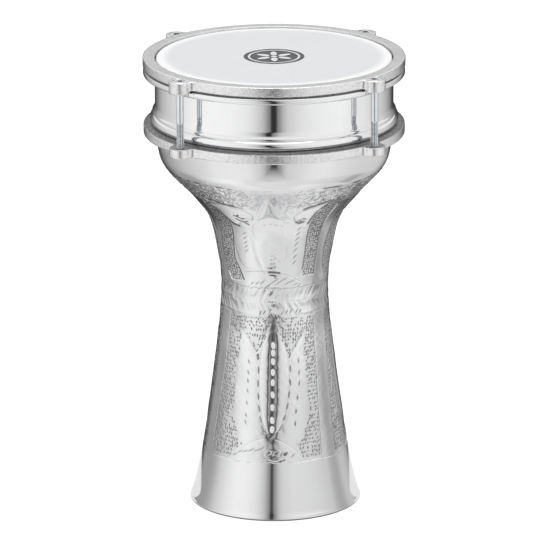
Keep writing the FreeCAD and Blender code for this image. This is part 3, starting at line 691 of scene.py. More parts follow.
    # ---- mandorla: two pillows either side of a groove with a row of ovals
    lens = curve([(-1.4, 158.5), (-6.0, 150.5), (-10.8, 141), (-13.9, 128), (-15.2, 115), (-14.7, 101), (-13, 88),
                  (-10.6, 77), (-7.0, 69.0), (-3.6, 65.5), (0.6, 68.0), (4.8, 73.0), (8.6, 81), (11.5, 92), (13.3, 103),
                  (13.7, 115), (12.0, 128), (8.8, 140), (4.2, 150)], True, 5)
    shape(pts(lens, 0.12), lift=0.24, edge=0.8, pillow=0.80, soft=4.0, groove=0.10, gw=0.5, tone=0.16)
    mid_line = [(-1.4, 157), (-1.9, 145), (-2.0, 136), (-2.3, 120), (-2.5, 95), (-3.3, 66.5)]
    stroke(pts(mid_line, 0.1), 0.40, 3.2, 0.30, 0.0)
    stroke(pts(mid_line, 0.1), 0.22, 2.25, 1.0, 0.0)
    for z in (136.3, 130.5, 123.8, 115.3, 107.3, 97.8, 87.8, 77.8, 70.6):
        c = -1.6 - (140 - z) * 0.016
        ri, cj, du, dv = window(G(c), z, 4, 6)
        tw = rng.normal(0, 0.12)
        q = (np.abs((du + tw * dv) / 1.72) ** 2.5 + np.abs(dv / 3.0) ** 2.5) ** (1 / 2.5)
        rows = np.arange(ri.start, ri.stop)[:, None]
        lump = 1 - smoothstep(q, 0.55, 1.12)
        H[rows, cj[None]] += (0.52 + 0.20 * du) * lump
        core = 1 - smoothstep(q, 0.80, 1.05)
        P[rows, cj[None]] *= 1 - 0.97 * core
        S[rows, cj[None]] = np.maximum(S[rows, cj[None]], core)
    for a, z, t in ((-16.9, 128, 75), (-16.6, 126, 100)):
        dent(G(a + J(0.4)), z, 1.5, 0.8, t, 0.45, 0.95)
    for a, z, t, l in ((-15.8, 116.5, 92, 2.5), (-15.8, 106.0, 92, 2.6), (-15.2, 96.0, 98, 2.6), (-13.8, 86.5, 104, 2.5),
                       (-12.2, 78.0, 108, 2.3), (-10.2, 71.0, 114, 2.2), (-14.4, 136.0, 66, 2.0), (-11.6, 143.0, 58, 1.9),
                       (-7.9, 68.0, 120, 1.6),
                       (14.6, 128.0, 72, 2.3), (14.6, 117.5, 90, 2.6), (14.3, 107.0, 94, 2.6), (12.8, 97.5, 82, 2.7),
                       (10.8, 88.5, 74, 2.6), (7.8, 79.5, 66, 2.5), (4.6, 72.0, 60, 2.4), (10.9, 136.0, 118, 1.8),
                       (8.2, 143.0, 120, 1.8)):
        dent(G(a + J(0.4)), z + J(0.5), l, 0.52, t + J(6), 0.34, 0.80)
    # rays at the lens top
    for a, z, t, l in ((-7.5, 151, 40, 2.4), (-4.8, 154.5, 52, 2.2), (3.4, 154, 128, 2.3), (6.2, 150.5, 140, 2.4),
                       (-9.7, 155.5, 20, 1.8), (8.4, 155.3, 160, 1.8), (-1.1, 158.5, 90, 1.6)):
        dent(G(a + J(0.4)), z, l, 0.5, t + J(5), 0.36, 0.85)
    # two plain leaves outside the lens, each with a row of soft dashes
    leaf_l = curve([(-34.5, 145.5), (-25, 139), (-18.5, 130), (-17.6, 115), (-16.8, 98), (-13.5, 78), (-9.5, 67),
                    (-17, 62.8), (-27, 60.5), (-36, 70), (-39.5, 85), (-40.3, 102), (-38.3, 127)], True, 4)
    leaf_r = curve([(32, 145.5), (24, 138), (16, 129.5), (16.3, 115), (15.7, 100), (11.5, 84), (6.0, 71),
                    (9, 65.5), (18, 61), (26, 69), (31, 84), (31.5, 102), (29.8, 127)], True, 4)
    shape(pts(leaf_l, 0.15), lift=0.06, edge=2.0, pillow=0.42, soft=5.5)
    shape(pts(leaf_r, 0.15), lift=0.06, edge=2.0, pillow=0.42, soft=5.5)
    for z in (122.5, 114, 107.3, 99.5, 90, 80.5, 75):
        dent(G(-25.9 + J(0.6)), z, 2.1, 0.55, 108 + J(10), 0.28, 0.40)
    for a, z in ((23.4, 123), (23.6, 113.8), (23.0, 105.5), (20.6, 94.5), (18.5, 84.0), (17.1, 74.5)):
        dent(G(a + J(0.5)), z, 2.3, 0.60, 84 + J(8), 0.30, 0.55)
    stroke(pts([(33, 148), (24, 139), (17, 131.5)], 0.2), 0.16, 0.5, 0.32)
    stroke(pts([(-36, 148), (-27, 140), (-18, 131.5)], 0.2), 0.12, 0.5, 0.15)

    # ---- half rosette at the foot of the panel
    arch = curve([(-42.5, 45.5), (-34, 51), (-24.5, 57.5), (-15, 62.0), (-7, 63.8), (1, 62.8), (10, 58.5), (18, 52), (24.3, 45.5)], False, 6)
    stroke(pts(arch, 0.1), 0.13, 0.55, 0.10)
    shape(pts(list(arch) + [(24.3, 45.0), (-42.5, 45.0)], 0.0), lift=0.05, edge=1.0, pillow=0.30, soft=3.5)
    for a, z, t, l in ((-34.5, 48.5, 30, 2.2), (-29.7, 51.5, 30, 3.2), (-24.8, 52.5, 28, 2.6), (-19.4, 53.8, 28, 3.4),
                       (-14.5, 54.3, 30, 2.6), (-11.0, 55.2, 32, 3.0), (14.5, 50.0, 36, 2.2)):
        dent(G(a + J(0.6)), z, l, 0.6, t + J(4), 0.30, 0.45)
    for a, z in ((-5.1, 52.3), (0.8, 52.0), (7.8, 51.5)):
        dent(G(a + J(0.3)), z, 1.9, 1.15, 32, 0.55, 0.9, rim=0.3)
        ri, cj, du, dv = window(G(a), z, 3, 3)
        q = np.sqrt((du / 1.0) ** 2 + (dv / 0.8) ** 2)
        rows = np.arange(ri.start, ri.stop)[:, None]
        H[rows, cj[None]] += 0.35 * np.exp(-q ** 2)
    stroke(pts([(-6, 46.3), (0, 44.8), (7, 47.0)], 0.2), 0.3, 0.6, 0.5)

    # ---- fan above the waist: slanted dashes and an arch line
    for a, z, t, l in ((-6.2, 184, 38, 3.6), (-0.5, 187.5, 36, 4.2), (4.6, 186.5, 34, 4.4), (8.8, 188.6, 30, 4.4),
                       (14.2, 186.0, 28, 3.6), (18.8, 187.2, 26, 3.2), (23.0, 184.2, 24, 2.6), (-12.5, 186.5, 40, 3.0),
                       (-18.5, 185.5, 42, 2.6), (-24.5, 185.0, 44, 2.4), (27.5, 183.4, 24, 2.0)):
        dent(G(a + J(0.6)), z, l * 0.85, 0.52, t + J(4), 0.30, 0.5)
    stroke(pts(curve([(-31, 193.6), (-20, 195.3), (-6, 195.4), (6, 194.4), (18, 190.8), (30, 185)], False, 5), 0.1), 0.26, 0.5, 0.25)
    stroke(pts([(-6, 194.9), (-1, 194.9), (5, 194.2)], 0.1), 0.45, 0.75, 0.95)

    # ---- petals between the waist and the crown
    pet_c = curve([(-10.8, 196.5), (-14.5, 204), (-18, 216), (-19.6, 232), (-13, 240), (-4, 243), (4.5, 241.5),
                   (9.5, 233), (11.3, 220), (11.0, 207), (6.5, 201), (0, 196.5)], True, 4)
    pet_l = curve([(-12.5, 197), (-17.5, 205), (-20.8, 219), (-22.0, 233), (-30, 235.5), (-38, 237.5), (-40.4, 225),
                   (-40.6, 212), (-36.5, 202), (-30, 196.5), (-21, 196.8)], True, 4)
    pet_r = curve([(2.5, 196.0), (8.0, 200.5), (12.6, 206.5), (13.2, 220), (11.5, 234), (20, 238), (29.5, 238),
                   (31.2, 225), (30.5, 210), (29.5, 196), (22, 190.5), (12, 193.8)], True, 4)
    for q in (pet_c, pet_l, pet_r):
        shape(pts(q, 0.1), lift=0.12, edge=1.5, pillow=0.50, soft=5.5, groove=0.06, gw=0.8)
    for k, z in enumerate(np.arange(198, 232, 3.6)):
        dent(G(-1.4 + J(0.8)), z, 2.0, 0.62, 52 + J(6), 0.07, 0.02, rim=0.6)
        if 205 < z < 230:
            dent(G(2.4 + J(0.8)), z + 1.4, 1.5, 0.55, 52 + J(6), 0.04)
    for z in (227, 223, 219, 215.5, 212):
        dent(G(-28 + J(0.7)), z, 1.9, 0.6, 40 + J(8), 0.30, 0.45)
    for k, z in enumerate((232, 227.5, 223, 218.5, 213.5, 208, 203)):
        dent(G(21.5 - 0.25 * k + J(0.7)), z, 2.5, 0.58, 50 + J(6), 0.30, 0.48)
    stroke(pts(curve([(-19.8, 222), (-18.6, 214), (-16, 205), (-11.4, 195.5)], False, 5), 0.1), 0.08, 0.55, 0.06)
    stroke(pts(curve([(11.8, 216), (11.0, 207), (6, 200), (0, 195.5)], False, 5), 0.1), 0.08, 0.55, 0.06)
    stroke(pts(curve([(-40.4, 236), (-40.4, 228), (-43.2, 214), (-43.7, 203), (-38.8, 195), (-34.5, 187)], False, 5), 0.1), 0.32, 0.62, 1.0)
    stroke(pts(curve([(33.0, 252), (31.5, 238), (31.3, 212), (30, 196)], False, 5), 0.1), 0.28, 0.6, 0.75)

    # ---- wings and the pointed leaf under the crown
    wing_l = curve([(-48.5, 251.3), (-40, 252.6), (-32, 252.0), (-25.5, 250.6), (-19.5, 248.4), (-16.0, 244.6), (-17.5, 240.6),
                    (-22.0, 241.6), (-26.0, 238.8), (-31.0, 234.8), (-35.5, 236.0), (-40.5, 240.5), (-44.0, 246.3)], True, 5)
    wing_r = curve([(38.0, 254.2), (30.5, 253.0), (22.5, 250.8), (16.8, 247.4), (14.4, 243.4), (16.5, 239.4), (20.5, 240.8),
                    (24.5, 238.2), (28.0, 236.8), (29.5, 241.0), (31.5, 246.0)], True, 5)
    shape(pts(wing_l, 0.1), lift=0.26, edge=0.8, pillow=0.45, soft=3.2, groove=0.10, gw=0.6, tone=0.20)
    shape(pts(wing_r, 0.1), lift=0.26, edge=0.8, pillow=0.45, soft=3.2, groove=0.10, gw=0.6, tone=0.20)
    for q in (wing_l, wing_r):
        i0, i1, cj, u, v, pu, pv = region(pts(q, 0.0))
        w = smoothstep(np.where(inside(u, v, pu, pv), seg_dist(u, v, pu, pv, True), -1.0), 0.5, 1.4)
        rows = np.arange(i0, i1)[:, None]
        P[rows, cj[None]] *= 1 - w
        C[rows, cj[None]] *= 1 - w
        S[rows, cj[None]] = np.maximum(S[rows, cj[None]], 0.95 * w)
    for line, w in ((((-51, 253), (-48, 250.3), (-44.6, 245.6), (-41, 239.3), (-36.5, 235.2), (-31.5, 233.6)), 1.35),
                    (((40, 256.0), (35.5, 252.6), (31.5, 247), (29.6, 241), (28.4, 236.2)), 1.15),
                    (((-30.5, 240.6), (-25.5, 237.6), (-21.5, 235.6)), 0.7), (((-31, 244.0), (-25.0, 241.0)), 0.65),
                    (((17.0, 238.2), (20.0, 237.0), (23.5, 237.8)), 0.8)):
        stroke(pts(line, 0.25), 0.34, w, 1.0, 0.0)
    for a, z, t in ((-24.6, 241.2, 30), (-22.8, 238.3, 10), (20.6, 238.6, 150), (23.2, 241.0, 170), (-28.0, 244.0, 60)):
        dent(G(a + J(0.3)), z, 1.7, 0.9, t, 0.45, 0.85)
    leaf = curve([(-4.1, 263.9), (-6.2, 257), (-9.6, 248), (-13.2, 240.5), (-4.5, 244.5), (4.4, 241.8), (1.6, 249), (-1.6, 257)], True, 5)
    shape(pts(leaf, 0.1), lift=0.18, edge=0.9, pillow=0.42, soft=3.2, groove=0.05, gw=0.6, tone=0.10)
    i0, i1, cj, u, v, pu, pv = region(pts([(-4.1, 265.2), (-8.0, 256), (-13.4, 242.3), (-9.0, 242.3), (-5.6, 250), (-3.6, 259)], 0.05))
    w = smoothstep(np.where(inside(u, v, pu, pv), seg_dist(u, v, pu, pv, True), -1.0), -0.2, 0.6)
    rows = np.arange(i0, i1)[:, None]
    H[rows, cj[None]] += 0.16 * w
    S[rows, cj[None]] = np.maximum(S[rows, cj[None]], 0.95 * w)
    i0, i1, cj, u, v, pu, pv = region(pts([(-4.1, 265), (-1, 258), (2, 249), (4.8, 242), (-4.5, 244.5), (-9, 242.3), (-5.6, 250), (-3.6, 259)], 0.05))
    w = smoothstep(np.where(inside(u, v, pu, pv), seg_dist(u, v, pu, pv, True), -1.0), -0.2, 0.6)
    rows = np.arange(i0, i1)[:, None]
    P[rows, cj[None]] = np.maximum(P[rows, cj[None]], 0.085 * w)
    for a, z in ((-9.3, 237.4), (-4.3, 238.6), (0.6, 237.6), (5.2, 236.6), (9.2, 239.5)):
        dent(G(a + J(0.5)), z, 1.35, 1.0, J(20), -0.30, 0.0)
        dent(G(a + J(0.8) + 1.5), z - 1.3, 1.0, 0.5, 20 + J(20), 0.16, 0.20)
    # a chased line under the stippled crown on both sides
    stroke(pts(curve([(-54, 251.5), (-47, 254.0), (-40, 254.3), (-28, 253.4), (-19, 250.4)], False, 5), 0.3), 0.10, 0.5, 0.20)
    stroke(pts(curve([(45, 252.0), (39, 254.6), (32, 255.0), (24, 253.4), (15, 249.4)], False, 5), 0.3), 0.10, 0.5, 0.20)
    # the torn lower outline of the crown, heavy at the outside
    for line, w, tone in ((((-52, 259.5), (-50.5, 257.4), (-48.6, 257.6), (-47, 255.2), (-44.6, 255.4), (-42.0, 255.8), (-40, 254.0),
                            (-36.5, 253.6), (-33.5, 253.9), (-31, 253.0), (-28, 252.8)), 1.45, 1.0),
                          (((-29, 252.7), (-26, 252.3), (-21.5, 251.6)), 0.5, 0.8),
                          (((20.5, 250.9), (23.5, 252.3), (27.5, 253.2), (31, 254.8), (35, 255.3), (38.5, 256.9)), 1.3, 1.0),
                          (((38, 256.6), (42, 259.4), (45.5, 260.0), (49, 263.4)), 0.7, 0.9)):
        stroke(pts(line, 0.7), 0.40, w, tone, 0.12)
    for k in range(420):
        side = -1 if rng.rand() < 0.5 else 1
        t = rng.uniform(11, 56) * side - (4 if side < 0 else 0)
        zlo = float(np.interp(abs(t + 4), [0, 12, 17, 25, 36, 50, 60], [262, 255, 249.8, 252.4, 254.0, 256.5, 257]))
        z = rng.uniform(zlo + 0.6, 270.4)
        heavy = min(1.0, max(0.25, (abs(t) - 8) / 34.0))
        dent(G(t), z, rng.uniform(0.6, 1.7), rng.uniform(0.46, 0.72), (-32 if side < 0 else 30) + rng.normal(0, 26),
             rng.uniform(0.10, 0.30), rng.uniform(0.35, 1.0) * (0.55 + 0.45 * heavy), rim=0.45)
        if heavy > 0.6:
            dent(G(t + rng.normal(0, 3)), z + rng.normal(0, 2), rng.uniform(0.8, 1.9), 0.6, (-32 if side < 0 else 30) + rng.normal(0, 20),
                 -rng.uniform(0.1, 0.3))
    # bright ridges along the outer sides of the upper columns
    for line in (((-56.5, 257), (-55.4, 245), (-58.0, 223), (-60.4, 211), (-60.2, 200), (-56.8, 192), (-52, 185)), ((52, 259), (48.4, 250), (46.6, 238), (45.8, 222), (45.5, 205))):
        stroke(pts(curve(line, False, 4), 0.1), -0.34, 0.62, 0.0, 0.0)
    # borders beside the plain bands
    stroke(pts([(-54.6, 250), (-54.9, 245), (-57.4, 223), (-59.9, 211), (-59.6, 200), (-56.2, 192)], 0.1), 0.26, 0.5, 0.85)
    stroke(pts([(45.4, 252), (45.6, 220), (45.4, 190)], 0.1), 0.26, 0.5, 0.75)
    for e in (-53.5, 45.5):
        for z in np.arange(191, 252, 2.0):
            if e < 0:
                e = float(np.interp(z, [192, 200, 211, 223, 245], [-56.3, -59.6, -59.9, -57.5, -54.9]))
            dent(G(e) + 0.6, z, 0.62, 0.62, 0, -0.22)
            dent(G(e) - 0.8, z + 1.0, 0.75, 0.5, 90, 0.22, 0.95, rim=0.0)
    zz = np.arange(48, 158, 2.2)
    le = np.interp(zz, [46, 80, 120, 160], [-61.0, -59.4, -55.4, -52.6])
    re = np.interp(zz, [46, 80, 120, 160], [40.5, 41.8, 44.0, 44.7])
    stroke([(G(a) + 0.5 * math.sin(z * 1.4), z) for a, z in zip(le, zz)], 0.14, 0.5, 0.30)
    stroke([(G(a) + 0.5 * math.sin(z * 1.4), z) for a, z in zip(re, zz)], 0.14, 0.5, 0.30)


panel(0.0, 1.0, 0.16, np.random.RandomState(7))
panel(120.2, 1.05, 0.42, np.random.RandomState(11))
panel(241.7, 1.04, 0.42, np.random.RandomState(23))

# feathered belt at the waist, all the way round: broad soft flutes with a few
# sharper cuts between them
rng = np.random.RandomState(3)
a = 0.0
while a < 358:
    for z0, t in ((175.8, 62), (165.4, -64)):
        dent(a + rng.normal(0, 0.8), z0 + rng.normal(0, 0.8), 5.0 * rng.uniform(0.8, 1.15), 1.45, t + rng.normal(0, 7),
             0.36 * rng.uniform(0.5, 1.2) * (0.42 if min(abs(a - c) for c in (0, 120, 241, 358)) < 9 else 1.0), 0.08,
             rim=0.12, power=1.0)
        if rng.rand() < 0.26:
            dent(a + rng.normal(1.5, 0.8), z0 + rng.normal(0, 2.0), 2.4 * rng.uniform(0.7, 1.2), 0.45, t * 0.85 + rng.normal(0, 7),
                 0.14, 0.34 * rng.uniform(0.4, 1.0))
    a += 4.7 * rng.uniform(0.85, 1.15)
for c, w in ((0.0, 1.0), (120.2, 1.05), (241.7, 1.04)):
    for k, t0 in enumerate((-15, -10.6, -6.0, 7.5, 12.4, 17.8, 23.0, 28.2)):
        dent(c + w * t0 + rng.normal(0, 0.5), 162.6 + rng.normal(0, 0.5), 2.1, 0.5, 58 + rng.normal(0, 5), 0.26, 0.62)
a = 0.0
while a < 358:
    dent(a, 181.6 + rng.normal(0, 0.25), 1.1, 0.5, 8 + rng.normal(0, 12), 0.24, 0.42, rim=0.3)
    a += 3.3 * rng.uniform(0.9, 1.1)
allround = np.arange(0, 361, 3.0)
stroke([(t, 170.6 + 0.5 * math.sin(t * 0.19)) for t in allround], 0.05, 0.9, 0.04)
stroke([(t, 159.6 + 0.4 * math.sin(t * 0.13)) for t in allround], 0.05, 0.8, 0.06)

# torn, granular crown: strong at the sides of every panel, worn in the middle
rc = np.random.RandomState(77)


def grain(sz, sc):
    """Smoothed random field of unit spread on the ornament grid."""
    f = np.fft.rfft2(rc.randn(len(ZR), NC))
    fz = np.fft.fftfreq(len(ZR))[:, None]
    fc = np.fft.rfftfreq(NC)[None]
    f *= np.exp(-2 * (math.pi * fz * sz) ** 2 - 2 * (math.pi * fc * sc) ** 2)
    g = np.fft.irfft2(f, (len(ZR), NC))
    return g / g.std()


zg, tg = ZR[:, None], TH[None]
rel = np.min([np.abs((tg - c + 180) % 360 - 180) / w for c, w in ((4.0, 1.0), (124.4, 1.05), (245.7, 1.04))], axis=0)
sides = smoothstep(rel, 13, 27)
low = np.interp(rel, [0, 12, 17, 25, 36, 50, 60], [262, 255, 249.8, 252.4, 254.0, 252.5, 252.5])
crown_w = smoothstep(zg, low - 0.4, low + 0.8) * (1 - smoothstep(zg, 270.2, 271.4))
g1, g2 = grain(1.7, 1.9), grain(0.9, 0.9)
rough_w = crown_w * (0.22 + 0.78 * sides)
H += rough_w * (0.07 * np.clip(g1, -1.8, 1.8) + 0.045 * g2)
flake = smoothstep(-g1 + 0.6 * g2, 0.75, 1.15)
P = np.maximum(P, rough_w * flake * 0.22)
g3, g4 = grain(1.5, 2.3), grain(4.0, 5.0)
crack = np.exp(-(g3 / 0.21) ** 2) * smoothstep(g4, -0.2, 0.6)
P = np.maximum(P, crown_w * crack * (0.10 + 0.75 * sides))
H -= 0.14 * crown_w * crack * sides
S = np.maximum(S, rough_w * 0.36 * (1 - P))
C = np.maximum(C, crown_w)
# a broken dark line along the top of the crown
brk = smoothstep(waves(tg, zg * 0 + 271.5, 20, 8, 60, 12), -0.2, 0.7)
lin = np.exp(-((zg - 271.5 - 0.3 * np.sin(np.radians(tg * 7))) / 0.6) ** 2)
H -= 0.26 * lin * (0.15 + 0.85 * brk) * (0.35 + 0.65 * sides)
P = np.maximum(P, lin * np.clip(0.08 + 0.08 * brk + 0.10 * sides + 0.9 * brk * sides, 0, 1))

# the lower border: the chased field sits a little deeper than the plain foot,
# its edge cut in uneven swags
zb = 44.8 - 0.9 * np.abs(np.sin(np.radians(tg * 4.5 + 20))) + 0.5 * np.sin(np.radians(tg * 3 + 70))
H -= 0.26 * smoothstep(zg, zb - 0.5, zb + 0.5) * np.exp(-np.clip(zg - zb, 0, None) / 7.0)
lin = np.exp(-((zg - zb) / 0.55) ** 2)
H -= 0.12 * lin
P = np.maximum(P, lin * (0.04 + 0.16 * smoothstep(waves(tg, zg * 0 + 44, 20, 8, 60, 19), 0.0, 0.9)))

# hand-worked unevenness of the chased zone, fading into the turned foot and bowl
zg, tg = ZR[:, None], TH[None]
zone = smoothstep(zg, 43, 47) * (1 - smoothstep(zg, 268, 272))
H += zone * (0.060 * waves(tg, zg, 16, 4, 16, 5) + 0.026 * waves(tg, zg, 24, 22, 60, 6))
C = np.clip(np.maximum(C, 0.55 * zone * np.ones_like(C)), 0, 1)
S = np.clip(S, 0, 1)
# darker duller metal: dull in the densely chased ground, and painted shade towards the sides of each panel, round the
# neck and waist, in the middle of the crown and along the upper panel borders
dull_and_painted_shade = 0.13 * smoothstep(C, 0.7, 1.0) * (1 - crown_w)
neck = smoothstep(zg, 176, 196) * (1 - smoothstep(zg, 258, 269))
dull_and_painted_shade = dull_and_painted_shade + 0.36 * neck * smoothstep(rel, 22, 44) * (1 - crown_w)
dull_and_painted_shade = dull_and_painted_shade + 0.50 * smoothstep(rel, 32, 45) * smoothstep(zg, 138, 152) * (1 - smoothstep(zg, 178, 190))
rel2 = np.min([np.abs((tg - c + 180) % 360 - 180) / w for c, w in ((-2.0, 1.0), (118.4, 1.05), (239.7, 1.04))], axis=0)
dull_and_painted_shade = dull_and_painted_shade + 0.16 * crown_w * (1 - sides)
dull_and_painted_shade = dull_and_painted_shade + 1.2 * smoothstep(rel2, 48.5, 54.5) * smoothstep(zg, 226, 246) * (1 - smoothstep(zg, 268, 272))
dull_and_painted_shade = dull_and_painted_shade + 0.10 * zone * smoothstep(rel, 34, 50) + 0.05 * zone * waves(tg, zg, 16, 3, 20, 91)
dull_and_painted_shade = np.clip(dull_and_painted_shade * (1 - 0.9 * S), 0, 1)
for k in (0, 1, 2, -3, -2, -1):       # ends of the grid join the plain turning
    H[k] *= min(abs(k if k >= 0 else k + 1) / 3.0, 1.0)
P = np.clip(P, 0, 1)


# ============================================================ goblet mesh
def grid_rows(profile, cols):
    p = np.asarray(profile, float)
    a = np.radians(np.arange(cols) * 360.0 / cols - TURN)
    x = p[:, 0][:, None] * np.sin(a)[None]
    y = -p[:, 0][:, None] * np.cos(a)[None]
    z = np.repeat(p[:, 1][:, None], cols, 1)
    return np.stack([x, y, z], -1)


class Skin:
    def __init__(self):
        self.v, self.q, self.t, self.n = [], [], [], 0
        self.maps = {"punch": [], "chase": [], "satin": [], "dull": []}

    def block(self, g, maps=None):
        r, c, _ = g.shape
        base = self.n
        self.v.append(g.reshape(-1, 3))
        for key, got in self.maps.items():
            got.append(maps[key].ravel() if maps and key in maps else np.zeros(r * c))
        self.n += r * c
        i, j = np.arange(r - 1)[:, None], np.arange(c)[None]
        j2 = (j + 1) % c
        self.q.append(np.stack([base + i * c + j, base + i * c + j2, base + (i + 1) * c + j2, base + (i + 1) * c + j],
                               -1).reshape(-1, 4))
        return (base, c), (base + (r - 1) * c, c)

    def join(self, low, high):
        """Joins the row low to the row high above it; columns may halve or double."""
        (a, ca), (b, cb) = low, high
        if ca == cb:
            j = np.arange(ca)
            j2 = (j + 1) % ca
            self.q.append(np.stack([a + j, a + j2, b + j2, b + j], -1))
            return
        if ca == 2 * cb:
            k = np.arange(cb)
            k2 = (k + 1) % cb
            f0, f1, f2 = a + 2 * k, a + 2 * k + 1, a + (2 * k + 2) % ca
            self.t += [np.stack([f0, f1, b + k], -1), np.stack([f1, b + k2, b + k], -1), np.stack([f1, f2, b + k2], -1)]
            return
        k = np.arange(ca)
        k2 = (k + 1) % ca
        f0, f1, f2 = b + 2 * k, b + 2 * k + 1, b + (2 * k + 2) % cb
        self.t += [np.stack([a + k, f1, f0], -1), np.stack([a + k, a + k2, f1], -1), np.stack([a + k2, f2, f1], -1)]


# plain turned parts of the profile, outside from the foot up
rim = arc(65.72, 1.27, 1.22, -86, 32, 12)
foot = [(63.2, 0.01), (64.3, 0.01), (65.1, 0.02)] + rim
low_rows = [(r + 1.05 * math.exp(-(z - 2.0) / 3.6), z) for r, z in rows_between(2.7, Z_LO, 0.9)]
mid_rows = [tuple(x) for x in rows_between(Z_HI, 300.0, 0.9)]
bx, bz = 92.0, 309.5     # bead centre, radius about 4.6 in the bead's own curve
bead = [(91.5, 302.5), (91.5, 304.9), (91.9, 305.6), (93.6, 305.62)]
c2 = np.array([(94.6, 305.6), (93.5, 313.2)])
half = np.hypot(*(c2[1] - c2[0])) / 2
mid = c2.mean(0)
dirn = (c2[1] - c2[0]) / (2 * half)
h_off = math.sqrt(4.6 ** 2 - half ** 2)
cen = mid + np.array([-dirn[1], dirn[0]]) * h_off
a0 = math.degrees(math.atan2(c2[0][1] - cen[1], c2[0][0] - cen[0]))
a1 = math.degrees(math.atan2(c2[1][1] - cen[1], c2[1][0] - cen[0]))
bead += arc(cen[0], cen[1], 4.6, a0, a1, 22)
bead += [(93.75, 313.30), (93.6, 313.42), (93.75, 313.62), (94.15, 313.70), (94.4, 313.82), (94.5, 314.05), (94.42, 314.35)]
bead += arc(101.4, 320.6, 9.1, 219, 181, 14)
collar = [(92.3, 320.8), (92.3, 322), (92.3, 328), (92.3, 334), (92.3, 340), (92.3, 344.6),
          (92.24, 345.6), (92.0, 346.9), (91.5, 349.2), (91.05, 351.3), (90.95, 352.2), (90.95, 354.0)]
edge = arc(89.45, 354.3, 1.5, 0, 90, 9) + [(88.75, 355.78), (88.45, 355.4), (88.36, 354.8)]
inner_top = [(88.35, 351.8), (88.9, 349.2), (89.65, 345.7), (89.7, 344.5), (89.7, 330), (89.7, 316), (89.7, 314.5),
             (89.4, 311), (88.95, 305)]
inn = INN[::-1]
inner_s = np.concatenate([[0], np.cumsum(np.hypot(*np.diff(inn, axis=0).T))])
si = np.linspace(0, inner_s[-1], 96)
inner_rows = [tuple(x) for x in np.stack([np.interp(si, inner_s, inn[:, 0]), np.interp(si, inner_s, inn[:, 1])], -1)]
inner_rows += [(63.05, 1.0), (63.05, 0.35)]

skin = Skin()
NL = NC // 2
g_low = grid_rows(foot + low_rows[:-1], NL)
# painted contact shadow: the bottom of the foot rim is darkened through the punch attribute
painted_contact_shadow = np.array([1.0 * (1 - smoothstep(z, 0.95, 1.75)) for _, z in foot + low_rows[:-1]])
f_low, l_low = skin.block(g_low, {"punch": np.repeat(painted_contact_shadow[:, None], NL, 1)})
orn = grid_rows(ORN, NC)
ang = np.radians(np.arange(NC) * DTH - TURN)
nx = NR[:, None] * np.sin(ang)[None]
ny = -NR[:, None] * np.cos(ang)[None]
nz = np.repeat(NZ[:, None], NC, 1)
orn = orn + np.stack([nx, ny, nz], -1) * H[..., None]
f_o, l_o = skin.block(orn, {"punch": P, "chase": C, "satin": S, "dull": dull_and_painted_shade})
skin.join(l_low, f_o)
g_up = grid_rows(mid_rows[1:] + bead + collar + edge, NL)
f_u, l_u = skin.block(g_up)
skin.join(l_o, f_u)
g_in = grid_rows(inner_top + inner_rows, NL // 2)
f_i, l_i = skin.block(g_in)
skin.join(l_u, f_i)
# close the wall at the foot: inner bottom (fewer columns) up to the outer foot ring
skin.join(l_i, f_low)
goblet = build("goblet_shell_chased", np.concatenate(skin.v), [np.concatenate(skin.q), np.concatenate(skin.t)],
               "shell", M_SHELL, ["goblet_shell"],
               attrs={k: np.concatenate(x) for k, x in skin.maps.items()})


